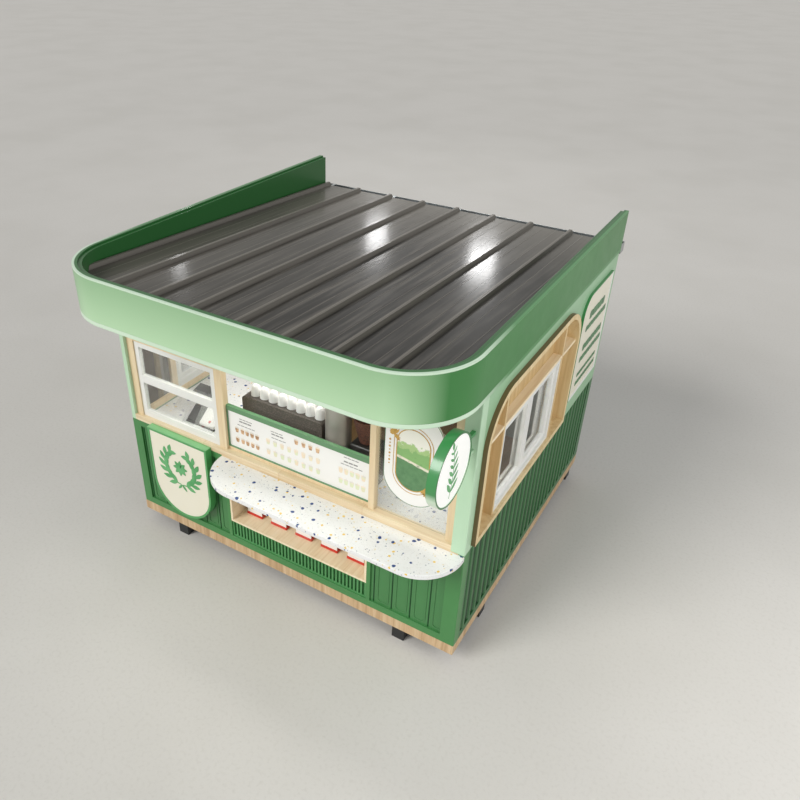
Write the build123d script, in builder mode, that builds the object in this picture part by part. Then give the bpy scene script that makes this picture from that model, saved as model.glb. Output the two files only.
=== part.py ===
"""Street kiosk: a small walk-in sales hut with a canopy, a serving counter and side windows.

Millimetres, +Z up, +X to the right as a customer sees it, the front faces -Y.
The origin is on the ground, in the middle of the whole kiosk's footprint.
"""
from build123d import *
import os

os.makedirs("parts", exist_ok=True)

# ---------------------------------------------------------------- body
body_width = 3000.0
body_depth = 2760.0
wall_thickness = 80.0
foot_height = 108.0
frame_height = 80.0
floor_thickness = 22.0
lower_wall_height = 872.0
upper_wall_height = 1188.0

# ---------------------------------------------------------------- feet and base
foot_size = 100.0
foot_inset = 15.0
foot_spacing_x = 2140.0
foot_shift_x = -20.0
foot_front_gap = 520.0
foot_rear_gap = 60.0
frame_width = 110.0
joist_count = 4
joist_width = 60.0
plinth_thickness = 18.0
plinth_height = 90.0

# ---------------------------------------------------------------- canopy and roof
canopy_reach = 540.0
canopy_radius = 480.0
canopy_height = 333.0
canopy_thickness = 65.0
canopy_rear_reach = 35.0
top_trim_width = 36.0
top_trim_height = 12.0
bottom_trim_height = 30.0
soffit_thickness = 12.0
roof_front_drop = 72.0
roof_rear_drop = 240.0
sheet_thickness = 3.0
sheet_gap = 1.0
rib_pitch = 352.0
rib_count = 9
rib_height = 30.0
rib_base = 52.0
rib_top = 26.0
sheet_overhang = 25.0
gutter_width = 95.0
gutter_height = 80.0
gutter_wall = 4.0
gutter_clear = 3.0
purlin_width = 40.0
purlin_count = 5
soffit_bearing = 40.0

# ---------------------------------------------------------------- lower front
left_stile_width = 88.0
right_stile_width = 112.0
bottom_rail_height = 62.0
top_rail_height = 55.0
niche_right_shift = 20.0
niche_stile_width = 32.0
niche_floor_height = 244.0
niche_depth = 300.0
niche_board = 18.0
grille_recess = 10.0
grille_thickness = 16.0
grille_rail = 16.0
grille_rib_pitch = 32.0
grille_rib_width = 15.0
grille_back = 4.0
panel_recess = 14.0
panel_thickness = 24.0
panel_last_board = 105.0
panel_board_pitch = 151.0
panel_joint = 8.0
panel_joint_depth = 6.0
inlay_width = 98.0
inlay_line = 9.0
inlay_height = 4.0
inlay_foot_gap = 24.0
inlay_radius = 36.0
display_box_width = 152.0
display_box_depth = 100.0
display_box_height = 125.0
display_box_pitch = 241.0
display_box_margin = 46.0
display_box_setback = 172.0

# ---------------------------------------------------------------- counters
counter_reach_left = 40.0
counter_reach = 340.0
counter_thickness = 36.0
counter_corner = 320.0
counter_drop = 6.0
counter_edge_radius = 4.0
inner_counter_depth = 600.0
inner_counter_thickness = 32.0
gable_thickness = 30.0
gable_setback = 40.0
machine_width = 725.0
machine_depth = 380.0
machine_height = 461.0
machine_shift = 25.0
machine_setback = 130.0
machine_radius = 30.0

# ---------------------------------------------------------------- front timber and openings
left_post_width = 45.0
right_post_width = 100.0
corner_radius = 8.0
timber_setback = 25.0
timber_depth = 55.0
sill_height = 50.0
head_height = 60.0
opening_height = 688.0
tall_bay_top_gap = 90.0
left_jamb_width = 70.0
front_window_width = 810.0
menu_post_width = 70.0
bay_post_width = 45.0
side_bay_width = 545.0
right_jamb_width = 60.0
sash_depth = 34.0
sash_stile = 46.0
sash_bottom_rail = 62.0
sash_top_rail = 50.0
meeting_rail = 70.0
meeting_rail_height = 320.0
glass_thickness = 6.0
fit_gap = 0.3
menu_rail_height = 25.0
board_edge = 9.0
board_height = 321.0
board_thickness = 12.0
board_rail_height = 39.0
board_rail_thickness = 30.0
pane_depth = 20.0

# ---------------------------------------------------------------- side windows
hood_front_margin = 89.0
hood_length = 1761.0
hood_foot = 30.0
hood_top_gap = 71.0
hood_radius = 345.0
hood_board = 42.0
hood_proud = 30.0
hood_recess = 55.0
hood_back = 12.0
front_compartment = 262.0
window_bay = 1075.0
divider_board = 24.0
divider_setback = 20.0
shelf_rise = 714.0
shelf_thickness = 24.0
window_frame_board = 30.0
window_frame_setback = 24.0
side_sash_setback = 42.0
side_sash_depth = 30.0
side_sash_stile = 52.0
side_glass_inset = 20.0
meeting_groove = 6.0

# ---------------------------------------------------------------- wainscot
slat_pitch = 98.0
slat_base = 60.0
slat_top = 28.0
slat_depth = 15.0
side_stile = 20.0
back_stile = 100.0
wainscot_rail = 60.0
wainscot_board = 20.0
wainscot_sheet = 5.0

# ---------------------------------------------------------------- signs
shield_margin = 230.0
shield_width = 618.0
shield_height = 795.0
shield_rise = 28.0
shield_depth = 62.0
shield_rim = 20.0
shield_face_recess = 4.0
shield_face_thickness = 8.0
disc_diameter = 462.0
disc_thickness = 60.0
disc_rim = 12.0
disc_face_recess = 4.0
disc_face_thickness = 6.0
disc_side_margin = 10.0
disc_gap = 87.0
disc_top_gap = 51.0
disc_bar = 24.0
disc_bar_spread = 130.0
disc_bar_bite = 18.0
side_board_gap = 55.0
side_board_rear_margin = 145.0
side_board_foot = 180.0
side_board_top_gap = 100.0
side_board_radius = 170.0
side_board_thickness = 20.0
side_board_rim = 8.0
side_board_face = 17.0
hanging_sign_shift = 50.0
hanging_sign_width = 422.0
hanging_sign_height = 755.0
hanging_sign_foot = 149.0
hanging_sign_thickness = 10.0

# ---------------------------------------------------------------- places worked out from the sizes
half_width = body_width / 2
total_depth = canopy_reach + body_depth + canopy_rear_reach + gutter_width
front = -total_depth / 2 + canopy_reach
back = front + body_depth
frame_z = foot_height
deck_z = frame_z + frame_height
floor_z = deck_z + floor_thickness
split_z = floor_z + lower_wall_height
eaves_z = split_z + upper_wall_height
canopy_z = eaves_z + canopy_height
canopy_front = front - canopy_reach
canopy_rear = back + canopy_rear_reach
inner_front = front + wall_thickness
inner_back = back - wall_thickness
inner_side = half_width - wall_thickness
inner_canopy_side = half_width - canopy_thickness
inner_canopy_front = canopy_front + canopy_thickness
timber_y = front + timber_setback
timber_back = timber_y + timber_depth
sill_z = split_z + sill_height
head_z = sill_z + opening_height
header_z = head_z + head_height
tall_header_z = eaves_z - tall_bay_top_gap
tall_head_z = tall_header_z - head_height
niche_floor_z = floor_z + niche_floor_height
niche_top_z = split_z - top_rail_height
counter_z = split_z - counter_drop
window_left = -half_width + left_post_width + left_jamb_width
window_right = window_left + front_window_width
menu_left = window_right + menu_post_width
side_bay_right = half_width - right_post_width - right_jamb_width
side_bay_left = side_bay_right - side_bay_width
menu_right = side_bay_left - bay_post_width
niche_left = menu_left
niche_right = menu_right + niche_right_shift
counter_left = menu_left - counter_reach_left


def save(part, name):
    """Label a finished piece and write its file."""
    part.part.label = name
    export_step(part.part, f"parts/{name}.step")


def front_plane(y):
    """The upright plane at depth y, seen from the front: sketch x is X, sketch y is Z."""
    return Plane.XZ.offset(-y)


def side_plane(x):
    """The upright plane at the given X, seen from the right: sketch x is Y, sketch y is Z."""
    return Plane.YZ.offset(x)


def edges_rectangle(x0, x1, y0, y1, mode=Mode.ADD):
    """A rectangle given by its edges, drawn in the sketch that is open."""
    with Locations(((x0 + x1) / 2, (y0 + y1) / 2)):
        Rectangle(x1 - x0, y1 - y0, mode=mode)


def u_face(x0, x1, y0, y1, radius):
    """A flat shape with a straight top and two rounded bottom corners."""
    with BuildSketch() as shape:
        with BuildLine():
            Polyline((x0, y0 + radius), (x0, y1), (x1, y1), (x1, y0 + radius))
            RadiusArc((x1, y0 + radius), (x1 - radius, y0), radius)
            if x1 - x0 > 2 * radius + fit_gap:
                Line((x1 - radius, y0), (x0 + radius, y0))
            RadiusArc((x0 + radius, y0), (x0, y0 + radius), radius)
        make_face()
    return shape.sketch_local


def arch_face(y0, y1, z0, z1, radius):
    """A flat shape with a straight foot and two rounded top corners."""
    with BuildSketch() as shape:
        with BuildLine():
            Polyline((y0, z1 - radius), (y0, z0), (y1, z0), (y1, z1 - radius))
            RadiusArc((y1, z1 - radius), (y1 - radius, z1), -radius)
            Line((y1 - radius, z1), (y0 + radius, z1))
            RadiusArc((y0 + radius, z1), (y0, z1 - radius), -radius)
        make_face()
    return shape.sketch_local


def canopy_face(inset, rear):
    """The canopy's plan: a straight front with two rounded corners, running back to `rear`."""
    x = half_width - inset
    y = canopy_front + inset
    radius = canopy_radius - inset
    with BuildSketch() as shape:
        with BuildLine():
            Polyline((-x, y + radius), (-x, rear), (x, rear), (x, y + radius))
            RadiusArc((x, y + radius), (x - radius, y), radius)
            Line((x - radius, y), (-x + radius, y))
            RadiusArc((-x + radius, y), (-x, y + radius), radius)
        make_face()
    return shape.sketch_local


def board_face(inset):
    """The side board's outline: square but for one large rounded corner, top and front."""
    y0 = side_board_front + inset
    y1 = side_board_rear - inset
    z0 = side_board_z + inset
    z1 = side_board_top - inset
    radius = side_board_radius - inset
    with BuildSketch() as shape:
        with BuildLine():
            Polyline((y0, z1 - radius), (y0, z0), (y1, z0), (y1, z1), (y0 + radius, z1))
            RadiusArc((y0 + radius, z1), (y0, z1 - radius), -radius)
        make_face()
    return shape.sketch_local


# ================================================================ base
foot_x = half_width - foot_inset - foot_size / 2
foot_left_x = foot_shift_x - foot_spacing_x / 2
foot_right_x = foot_shift_x + foot_spacing_x / 2
foot_front_y = front + foot_inset + foot_size / 2
foot_back_y = back - foot_inset - foot_size / 2
with BuildPart() as feet:
    with BuildSketch():
        with Locations((foot_left_x, foot_front_y), (foot_right_x, foot_front_y),
                       (foot_left_x, foot_back_y), (foot_right_x, foot_back_y),
                       (-foot_x, foot_front_y + foot_front_gap), (foot_x, foot_front_y + foot_front_gap),
                       (-foot_x, foot_back_y - foot_rear_gap), (foot_x, foot_back_y - foot_rear_gap)):
            Rectangle(foot_size, foot_size)
    extrude(amount=foot_height)
save(feet, "feet")

frame_x = half_width - plinth_thickness
frame_front = front + plinth_thickness
frame_back = back - plinth_thickness
frame_clear = 2 * (frame_x - frame_width)
joist_length = frame_back - frame_front - 2 * frame_width
with BuildPart() as base_frame:
    with BuildSketch(Plane.XY.offset(frame_z)):
        edges_rectangle(-frame_x, frame_x, frame_front, frame_back)
        edges_rectangle(-frame_x + frame_width, frame_x - frame_width,
                        frame_front + frame_width, frame_back - frame_width, Mode.SUBTRACT)
        with Locations((0, (frame_front + frame_back) / 2)):
            with GridLocations(frame_clear / (joist_count + 1), 0, joist_count, 1):
                Rectangle(joist_width, joist_length)
    extrude(amount=frame_height)
save(base_frame, "base_frame")

with BuildPart() as plinth:
    with BuildSketch(Plane.XY.offset(floor_z - plinth_height)):
        edges_rectangle(-half_width, half_width, front, back)
        edges_rectangle(-frame_x, frame_x, frame_front, frame_back, Mode.SUBTRACT)
    extrude(amount=plinth_height)
save(plinth, "plinth")

with BuildPart() as floor_deck:
    with BuildSketch(Plane.XY.offset(deck_z)):
        edges_rectangle(-frame_x, frame_x, frame_front, frame_back)
    extrude(amount=floor_thickness)
save(floor_deck, "floor_deck")

# ================================================================ lower front
panel_bottom_z = floor_z + bottom_rail_height
left_panel = (-half_width + left_stile_width, niche_left - niche_stile_width)
right_panel = (niche_right + niche_stile_width, half_width - right_stile_width)

with BuildPart() as front_lower_frame:
    with BuildSketch(front_plane(front)):
        edges_rectangle(-half_width, half_width, floor_z, split_z)
        edges_rectangle(*left_panel, panel_bottom_z, niche_top_z, Mode.SUBTRACT)
        edges_rectangle(niche_left, niche_right, panel_bottom_z, niche_top_z, Mode.SUBTRACT)
        edges_rectangle(*right_panel, panel_bottom_z, niche_top_z, Mode.SUBTRACT)
    extrude(amount=-wall_thickness)
    upright_edges = front_lower_frame.edges().filter_by(Axis.Z).group_by(Axis.Y)[0].sort_by(Axis.X)
    fillet([upright_edges[0], upright_edges[-1]], corner_radius)
save(front_lower_frame, "front_lower_frame")


cladding_y = front + panel_recess
inlay_z = panel_bottom_z + inlay_foot_gap
with BuildPart() as front_cladding:
    for x0, x1 in (left_panel, right_panel):
        last_joint = x1 - panel_last_board
        joint_count = int((last_joint - x0) / panel_board_pitch) + 1
        joints = [last_joint - i * panel_board_pitch for i in range(joint_count)]
        with BuildSketch(front_plane(cladding_y)):
            edges_rectangle(x0, x1, panel_bottom_z, niche_top_z)
        extrude(amount=-panel_thickness)
        with BuildSketch(front_plane(cladding_y)):
            for joint in joints:
                edges_rectangle(joint, joint + panel_joint, panel_bottom_z, niche_top_z)
        extrude(amount=-panel_joint_depth, mode=Mode.SUBTRACT)
        with BuildSketch(front_plane(cladding_y)):
            for joint in joints:
                bead_x = joint + (panel_board_pitch + panel_joint - inlay_width) / 2
                add(u_face(bead_x, bead_x + inlay_width, inlay_z, niche_top_z, inlay_radius))
                add(u_face(bead_x + inlay_line, bead_x + inlay_width - inlay_line, inlay_z + inlay_line,
                           niche_top_z, inlay_radius - inlay_line), mode=Mode.SUBTRACT)
            edges_rectangle(x0, x1, panel_bottom_z, niche_top_z, Mode.INTERSECT)
        extrude(amount=inlay_height)
save(front_cladding, "front_cladding")

with BuildPart() as niche_box:
    with BuildSketch(front_plane(front)):
        edges_rectangle(niche_left, niche_right, niche_floor_z - niche_board, niche_top_z)
    extrude(amount=-niche_depth)
    with BuildSketch(front_plane(front)):
        edges_rectangle(niche_left + niche_board, niche_right - niche_board,
                        niche_floor_z, niche_top_z - niche_board)
    extrude(amount=niche_board - niche_depth, mode=Mode.SUBTRACT)
save(niche_box, "niche_box")

grille_width = niche_right - niche_left
grille_top = niche_floor_z - niche_board
grille_height = grille_top - panel_bottom_z
with BuildPart() as vent_grille:
    with BuildSketch(front_plane(front + grille_recess + grille_thickness)):
        edges_rectangle(niche_left, niche_right, panel_bottom_z, grille_top)
    extrude(amount=-grille_back)
    with BuildSketch(front_plane(front + grille_recess + grille_thickness)):
        edges_rectangle(niche_left, niche_right, panel_bottom_z, grille_top)
        edges_rectangle(niche_left + grille_rail, niche_right - grille_rail,
                        panel_bottom_z + grille_rail, grille_top - grille_rail, Mode.SUBTRACT)
        with Locations(((niche_left + niche_right) / 2, (panel_bottom_z + grille_top) / 2)):
            with GridLocations(grille_rib_pitch, 0, int(grille_width / grille_rib_pitch) - 1, 1):
                Rectangle(grille_rib_width, grille_height)
    extrude(amount=grille_thickness)
save(vent_grille, "vent_grille")

niche_clear = niche_right - niche_left - 2 * niche_board
display_box_room = niche_clear - display_box_margin - display_box_width
display_box_count = int(display_box_room / display_box_pitch) + 1
display_box_run = (display_box_count - 1) * display_box_pitch
display_box_x = niche_left + niche_board + display_box_margin + display_box_width / 2
with BuildPart() as display_boxes:
    with BuildSketch(Plane.XY.offset(niche_floor_z)):
        with Locations((display_box_x + display_box_run / 2,
                        front + display_box_setback + display_box_depth / 2)):
            with GridLocations(display_box_pitch, 0, display_box_count, 1):
                Rectangle(display_box_width, display_box_depth)
    extrude(amount=display_box_height)
save(display_boxes, "display_boxes")

# ================================================================ counters
with BuildPart() as counter_top:
    with BuildSketch(Plane.XY.offset(counter_z - counter_thickness)):
        edge_y = front - counter_reach
        with BuildLine():
            Line((half_width, front), (counter_left, front))
            RadiusArc((counter_left, front - counter_reach + counter_corner),
                      (counter_left + counter_corner, edge_y), -counter_corner)
            Line((counter_left, front), (counter_left, front - counter_reach + counter_corner))
            Line((counter_left + counter_corner, edge_y), (half_width - counter_corner, edge_y))
            RadiusArc((half_width - counter_corner, edge_y),
                      (half_width, edge_y + counter_corner), -counter_corner)
            Line((half_width, edge_y + counter_corner), (half_width, front))
        make_face()
    extrude(amount=counter_thickness)
    top_edges = counter_top.edges().group_by(Axis.Z)[-1].sort_by(Axis.Y)[:-1]
    fillet(top_edges, counter_edge_radius)
save(counter_top, "counter_top")

inner_counter_back = inner_front + inner_counter_depth
with BuildPart() as inner_counter:
    with BuildSketch(Plane.XY.offset(counter_z - inner_counter_thickness)):
        edges_rectangle(-inner_side, inner_side, inner_front, inner_counter_back)
    extrude(amount=inner_counter_thickness)
save(inner_counter, "inner_counter")

gable_xs = (-inner_side + gable_thickness / 2, niche_left - 2 * gable_thickness,
            niche_right + 2 * gable_thickness, inner_side - gable_thickness / 2)
with BuildPart() as counter_gables:
    with BuildSketch(Plane.XY.offset(floor_z)):
        for x in gable_xs:
            edges_rectangle(x - gable_thickness / 2, x + gable_thickness / 2,
                            inner_front + gable_setback, inner_counter_back - gable_setback)
    extrude(amount=counter_z - inner_counter_thickness - floor_z)
save(counter_gables, "counter_gables")

with BuildPart() as drinks_machine:
    with BuildSketch(front_plane(inner_front + machine_setback)):
        with Locations((menu_left + machine_shift + machine_width / 2, counter_z + machine_height / 2)):
            Rectangle(machine_width, machine_height)
    extrude(amount=-machine_depth)
    fillet(drinks_machine.edges().filter_by(Axis.Y).group_by(Axis.Z)[-1], machine_radius)
save(drinks_machine, "drinks_machine")

# ================================================================ front timber
with BuildPart() as front_sill:
    with BuildSketch(front_plane(front)):
        edges_rectangle(-half_width + left_post_width, half_width - right_post_width, split_z, sill_z)
    extrude(amount=-wall_thickness)
save(front_sill, "front_sill")

board_y = timber_back - board_rail_thickness
with BuildPart() as front_posts:
    with BuildSketch(front_plane(timber_y)):
        edges_rectangle(-half_width + left_post_width, window_right, head_z, header_z)
        edges_rectangle(window_right, half_width - right_post_width, tall_head_z, tall_header_z)
        edges_rectangle(-half_width + left_post_width, window_left, sill_z, header_z)
        edges_rectangle(window_right, menu_left, sill_z, tall_header_z)
        edges_rectangle(menu_right, side_bay_left, sill_z, tall_header_z)
        edges_rectangle(side_bay_right, half_width - right_post_width, sill_z, tall_header_z)
    extrude(amount=-timber_depth)
    with BuildSketch(front_plane(board_y)):
        edges_rectangle(menu_left, menu_right, sill_z, sill_z + menu_rail_height)
    extrude(amount=-board_rail_thickness)
save(front_posts, "front_posts")

sash_y = timber_y + (timber_depth - sash_depth) / 2
lower_pane_z = (sill_z + sash_bottom_rail, sill_z + meeting_rail_height)
upper_pane_z = (sill_z + meeting_rail_height + meeting_rail, head_z - sash_top_rail)
with BuildPart() as front_sash:
    with BuildSketch(front_plane(sash_y)):
        edges_rectangle(window_left, window_right, sill_z, head_z)
        for z0, z1 in (lower_pane_z, upper_pane_z):
            edges_rectangle(window_left + sash_stile, window_right - sash_stile, z0, z1, Mode.SUBTRACT)
    extrude(amount=-sash_depth)
save(front_sash, "front_sash")

side_pane_y = timber_back - pane_depth
with BuildPart() as front_glass:
    with BuildSketch(front_plane(sash_y + (sash_depth - glass_thickness) / 2)):
        for z0, z1 in (lower_pane_z, upper_pane_z):
            edges_rectangle(window_left + sash_stile + fit_gap, window_right - sash_stile - fit_gap,
                            z0 + fit_gap, z1 - fit_gap)
    extrude(amount=-glass_thickness)
    with BuildSketch(front_plane(side_pane_y)):
        edges_rectangle(side_bay_left, side_bay_right, sill_z, tall_head_z)
    extrude(amount=-glass_thickness)
save(front_glass, "front_glass")

board_z0 = sill_z + menu_rail_height + board_edge
board_z1 = board_z0 + board_height
with BuildPart() as menu_frame:
    with BuildSketch(front_plane(board_y)):
        edges_rectangle(menu_left, menu_right, board_z0 - board_edge, board_z1 + board_rail_height)
        edges_rectangle(menu_left + board_edge, menu_right - board_edge, board_z0, board_z1, Mode.SUBTRACT)
    extrude(amount=-board_rail_thickness)
save(menu_frame, "menu_frame")

with BuildPart() as menu_board:
    with BuildSketch(front_plane(board_y + (board_rail_thickness - board_thickness) / 2)):
        edges_rectangle(menu_left + board_edge, menu_right - board_edge, board_z0, board_z1)
    extrude(amount=-board_thickness)
save(menu_board, "menu_board")

hanging_sign_x = side_bay_left + hanging_sign_shift + hanging_sign_width / 2
hanging_sign_z = sill_z + hanging_sign_foot + hanging_sign_height / 2
with BuildPart() as hanging_sign:
    with BuildSketch(front_plane(side_pane_y)):
        with Locations((hanging_sign_x, hanging_sign_z)):
            SlotOverall(hanging_sign_height, hanging_sign_width, rotation=90)
    extrude(amount=hanging_sign_thickness)
save(hanging_sign, "hanging_sign")

# ================================================================ upper front
with BuildPart() as front_upper_wall:
    with BuildSketch(front_plane(front)):
        edges_rectangle(-half_width, -half_width + left_post_width, split_z, eaves_z)
        edges_rectangle(half_width - right_post_width, half_width, split_z, eaves_z)
        edges_rectangle(-half_width, window_right, header_z, eaves_z)
        edges_rectangle(window_right, half_width, tall_header_z, eaves_z)
    extrude(amount=-wall_thickness)
    upright_edges = front_upper_wall.edges().filter_by(Axis.Z).group_by(Axis.Y)[0].sort_by(Axis.X)
    fillet([upright_edges[0], upright_edges[-1]], corner_radius)
save(front_upper_wall, "front_upper_wall")


# ================================================================ side walls
hood_y0 = front + hood_front_margin
hood_y1 = hood_y0 + hood_length
hood_z0 = split_z + hood_foot
hood_z1 = eaves_z - hood_top_gap
hood_out = half_width + hood_proud
hood_in = half_width - hood_recess
hood_floor_z = hood_z0 + hood_board
clear_y0 = hood_y0 + hood_board
clear_y1 = hood_y1 - hood_board
clear_z1 = hood_z1 - hood_board
clear_radius = hood_radius - hood_board
divider_out = hood_out - divider_setback
bay_y0 = clear_y0 + front_compartment + divider_board
bay_y1 = bay_y0 + window_bay
shelf_z = hood_floor_z + shelf_rise
frame_out = hood_out - window_frame_setback
frame_y = (bay_y0 + window_frame_board, bay_y1 - window_frame_board)
frame_opening_z = (hood_floor_z + window_frame_board, shelf_z - window_frame_board)
side_sash_out = hood_out - side_sash_setback
meeting_y = (bay_y0 + bay_y1) / 2
pane_z = (frame_opening_z[0] + side_sash_stile, frame_opening_z[1] - side_sash_stile)
pane_ys = ((frame_y[0] + side_sash_stile, meeting_y - side_sash_stile),
           (meeting_y + side_sash_stile, frame_y[1] - side_sash_stile))
side_pane_x = side_sash_out - side_glass_inset - glass_thickness
side_board_front = hood_y1 + side_board_gap
side_board_rear = back - side_board_rear_margin
side_board_z = split_z + side_board_foot
side_board_top = eaves_z - side_board_top_gap
side_slab_x = half_width - wainscot_board
side_length = inner_back - inner_front
hood_solid = arch_face(hood_y0, hood_y1, hood_z0, hood_z1, hood_radius)
hood_hollow = arch_face(clear_y0, clear_y1, hood_floor_z, clear_z1, clear_radius)
fitted_hollow = arch_face(clear_y0 + fit_gap, clear_y1 - fit_gap, hood_floor_z, clear_z1 - fit_gap,
                          clear_radius - fit_gap)
sides = (1, -1)

with BuildPart() as side_lower_walls:
    for side in sides:
        with BuildSketch(side_plane(side * inner_side)):
            edges_rectangle(inner_front, inner_back, floor_z, split_z)
        extrude(amount=side * (side_slab_x - inner_side))
save(side_lower_walls, "side_lower_walls")

with BuildPart() as side_upper_walls:
    for side in sides:
        with BuildSketch(side_plane(side * inner_side)):
            edges_rectangle(inner_front, inner_back, split_z, eaves_z)
            add(hood_solid, mode=Mode.SUBTRACT)
        extrude(amount=side * wall_thickness)
save(side_upper_walls, "side_upper_walls")

with BuildPart() as window_hoods:
    for side in sides:
        with BuildSketch(side_plane(side * hood_in)):
            add(hood_solid)
            add(hood_hollow, mode=Mode.SUBTRACT)
        extrude(amount=side * (hood_out - hood_in))
save(window_hoods, "window_hoods")

with BuildPart() as window_backs:
    for side in sides:
        with BuildSketch(side_plane(side * hood_in)):
            add(hood_solid)
            edges_rectangle(*frame_y, *frame_opening_z, Mode.SUBTRACT)
        extrude(amount=-side * hood_back)
save(window_backs, "window_backs")

with BuildPart() as window_dividers:
    for side in sides:
        with BuildSketch(side_plane(side * hood_in)):
            edges_rectangle(bay_y0 - divider_board, bay_y0, hood_floor_z, hood_z1)
            edges_rectangle(bay_y1, bay_y1 + divider_board, hood_floor_z, hood_z1)
            add(fitted_hollow, mode=Mode.INTERSECT)
        extrude(amount=side * (divider_out - hood_in))
save(window_dividers, "window_dividers")

with BuildPart() as window_shelves:
    for side in sides:
        with BuildSketch(side_plane(side * hood_in)):
            edges_rectangle(clear_y0, bay_y0 - divider_board, shelf_z, shelf_z + shelf_thickness)
            edges_rectangle(bay_y0, bay_y1, shelf_z, shelf_z + shelf_thickness)
            edges_rectangle(bay_y1 + divider_board, clear_y1, shelf_z, shelf_z + shelf_thickness)
            add(fitted_hollow, mode=Mode.INTERSECT)
        extrude(amount=side * (divider_out - hood_in))
save(window_shelves, "window_shelves")

with BuildPart() as side_sashes:
    for side in sides:
        with BuildSketch(side_plane(side * hood_in)):
            edges_rectangle(bay_y0, bay_y1, hood_floor_z, shelf_z)
            edges_rectangle(*frame_y, *frame_opening_z, Mode.SUBTRACT)
        extrude(amount=side * (frame_out - hood_in))
        with BuildSketch(side_plane(side * side_sash_out)):
            edges_rectangle(*frame_y, *frame_opening_z)
            for pane_y in pane_ys:
                edges_rectangle(*pane_y, *pane_z, Mode.SUBTRACT)
        extrude(amount=-side * side_sash_depth)
        with BuildSketch(side_plane(side * side_sash_out)):
            edges_rectangle(meeting_y - meeting_groove / 2, meeting_y + meeting_groove / 2, *frame_opening_z)
        extrude(amount=-side * meeting_groove, mode=Mode.SUBTRACT)
save(side_sashes, "side_sashes")

with BuildPart() as side_glass:
    for side in sides:
        with BuildSketch(side_plane(side * side_pane_x)):
            for pane_y in pane_ys:
                edges_rectangle(pane_y[0] + fit_gap, pane_y[1] - fit_gap,
                                pane_z[0] + fit_gap, pane_z[1] - fit_gap)
        extrude(amount=side * glass_thickness)
save(side_glass, "side_glass")

# ================================================================ wainscot
side_runs = (((side_slab_x, inner_front, floor_z), (0, 1, 0), side_length, side_stile),
             ((-side_slab_x, inner_back, floor_z), (0, -1, 0), side_length, side_stile))
back_runs = (((half_width, back - wainscot_board, floor_z), (-1, 0, 0), body_width, back_stile),)
for name, runs in (("side_wainscots", side_runs), ("back_wainscot", back_runs)):
    with BuildPart() as wainscot:
        for corner, along, length, stile in runs:
            foot_plane = Plane(origin=corner, x_dir=along, z_dir=(0, 0, 1))
            with BuildSketch(foot_plane):
                edges_rectangle(0, length, -wainscot_board, 0)
            extrude(amount=wainscot_rail)
            with BuildSketch(foot_plane.offset(wainscot_rail)):
                edges_rectangle(0, stile, -wainscot_board, 0)
                edges_rectangle(length - stile, length, -wainscot_board, 0)
                edges_rectangle(stile, length - stile, -wainscot_sheet, 0)
                with Locations((length / 2, -wainscot_sheet)):
                    with GridLocations(slat_pitch, 0, int((length - 2 * stile) / slat_pitch), 1):
                        Polygon((-slat_base / 2, 0), (-slat_top / 2, -slat_depth),
                                (slat_top / 2, -slat_depth), (slat_base / 2, 0), align=None)
            extrude(amount=lower_wall_height - wainscot_rail)
    save(wainscot, name)

# ================================================================ back wall
with BuildPart() as back_lower_wall:
    with BuildSketch(front_plane(inner_back)):
        edges_rectangle(-half_width, half_width, floor_z, split_z)
    extrude(amount=wainscot_board - wall_thickness)
save(back_lower_wall, "back_lower_wall")

with BuildPart() as back_upper_wall:
    with BuildSketch(front_plane(inner_back)):
        edges_rectangle(-half_width, half_width, split_z, eaves_z)
    extrude(amount=-wall_thickness)
save(back_upper_wall, "back_upper_wall")

# ================================================================ canopy
fascia_z = eaves_z + bottom_trim_height
with BuildPart() as fascia:
    with BuildSketch(Plane.XY.offset(fascia_z)):
        add(canopy_face(0, canopy_rear))
        add(canopy_face(canopy_thickness, canopy_rear), mode=Mode.SUBTRACT)
    extrude(amount=canopy_height - bottom_trim_height)
save(fascia, "fascia")

with BuildPart() as fascia_trims:
    with BuildSketch(Plane.XY.offset(eaves_z)):
        add(canopy_face(0, canopy_rear))
        add(canopy_face(canopy_thickness, canopy_rear), mode=Mode.SUBTRACT)
    extrude(amount=bottom_trim_height)
    with BuildSketch(Plane.XY.offset(canopy_z)):
        add(canopy_face(0, canopy_rear))
        add(canopy_face(top_trim_width, canopy_rear), mode=Mode.SUBTRACT)
    extrude(amount=top_trim_height)
save(fascia_trims, "fascia_trims")

with BuildPart() as soffit:
    with BuildSketch(Plane.XY.offset(eaves_z)):
        add(canopy_face(canopy_thickness, front + soffit_bearing))
    extrude(amount=soffit_thickness)
save(soffit, "soffit")

# ================================================================ roof
sheet_front = inner_canopy_front + sheet_gap
sheet_rear = canopy_rear + sheet_overhang
roof_fall = (roof_rear_drop - roof_front_drop) / (sheet_rear - sheet_front)
pan_z = canopy_z - roof_front_drop - rib_height


def roof_z(y):
    """Height of the roof pans' top face at depth y."""
    return pan_z - roof_fall * (y - sheet_front)


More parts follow.
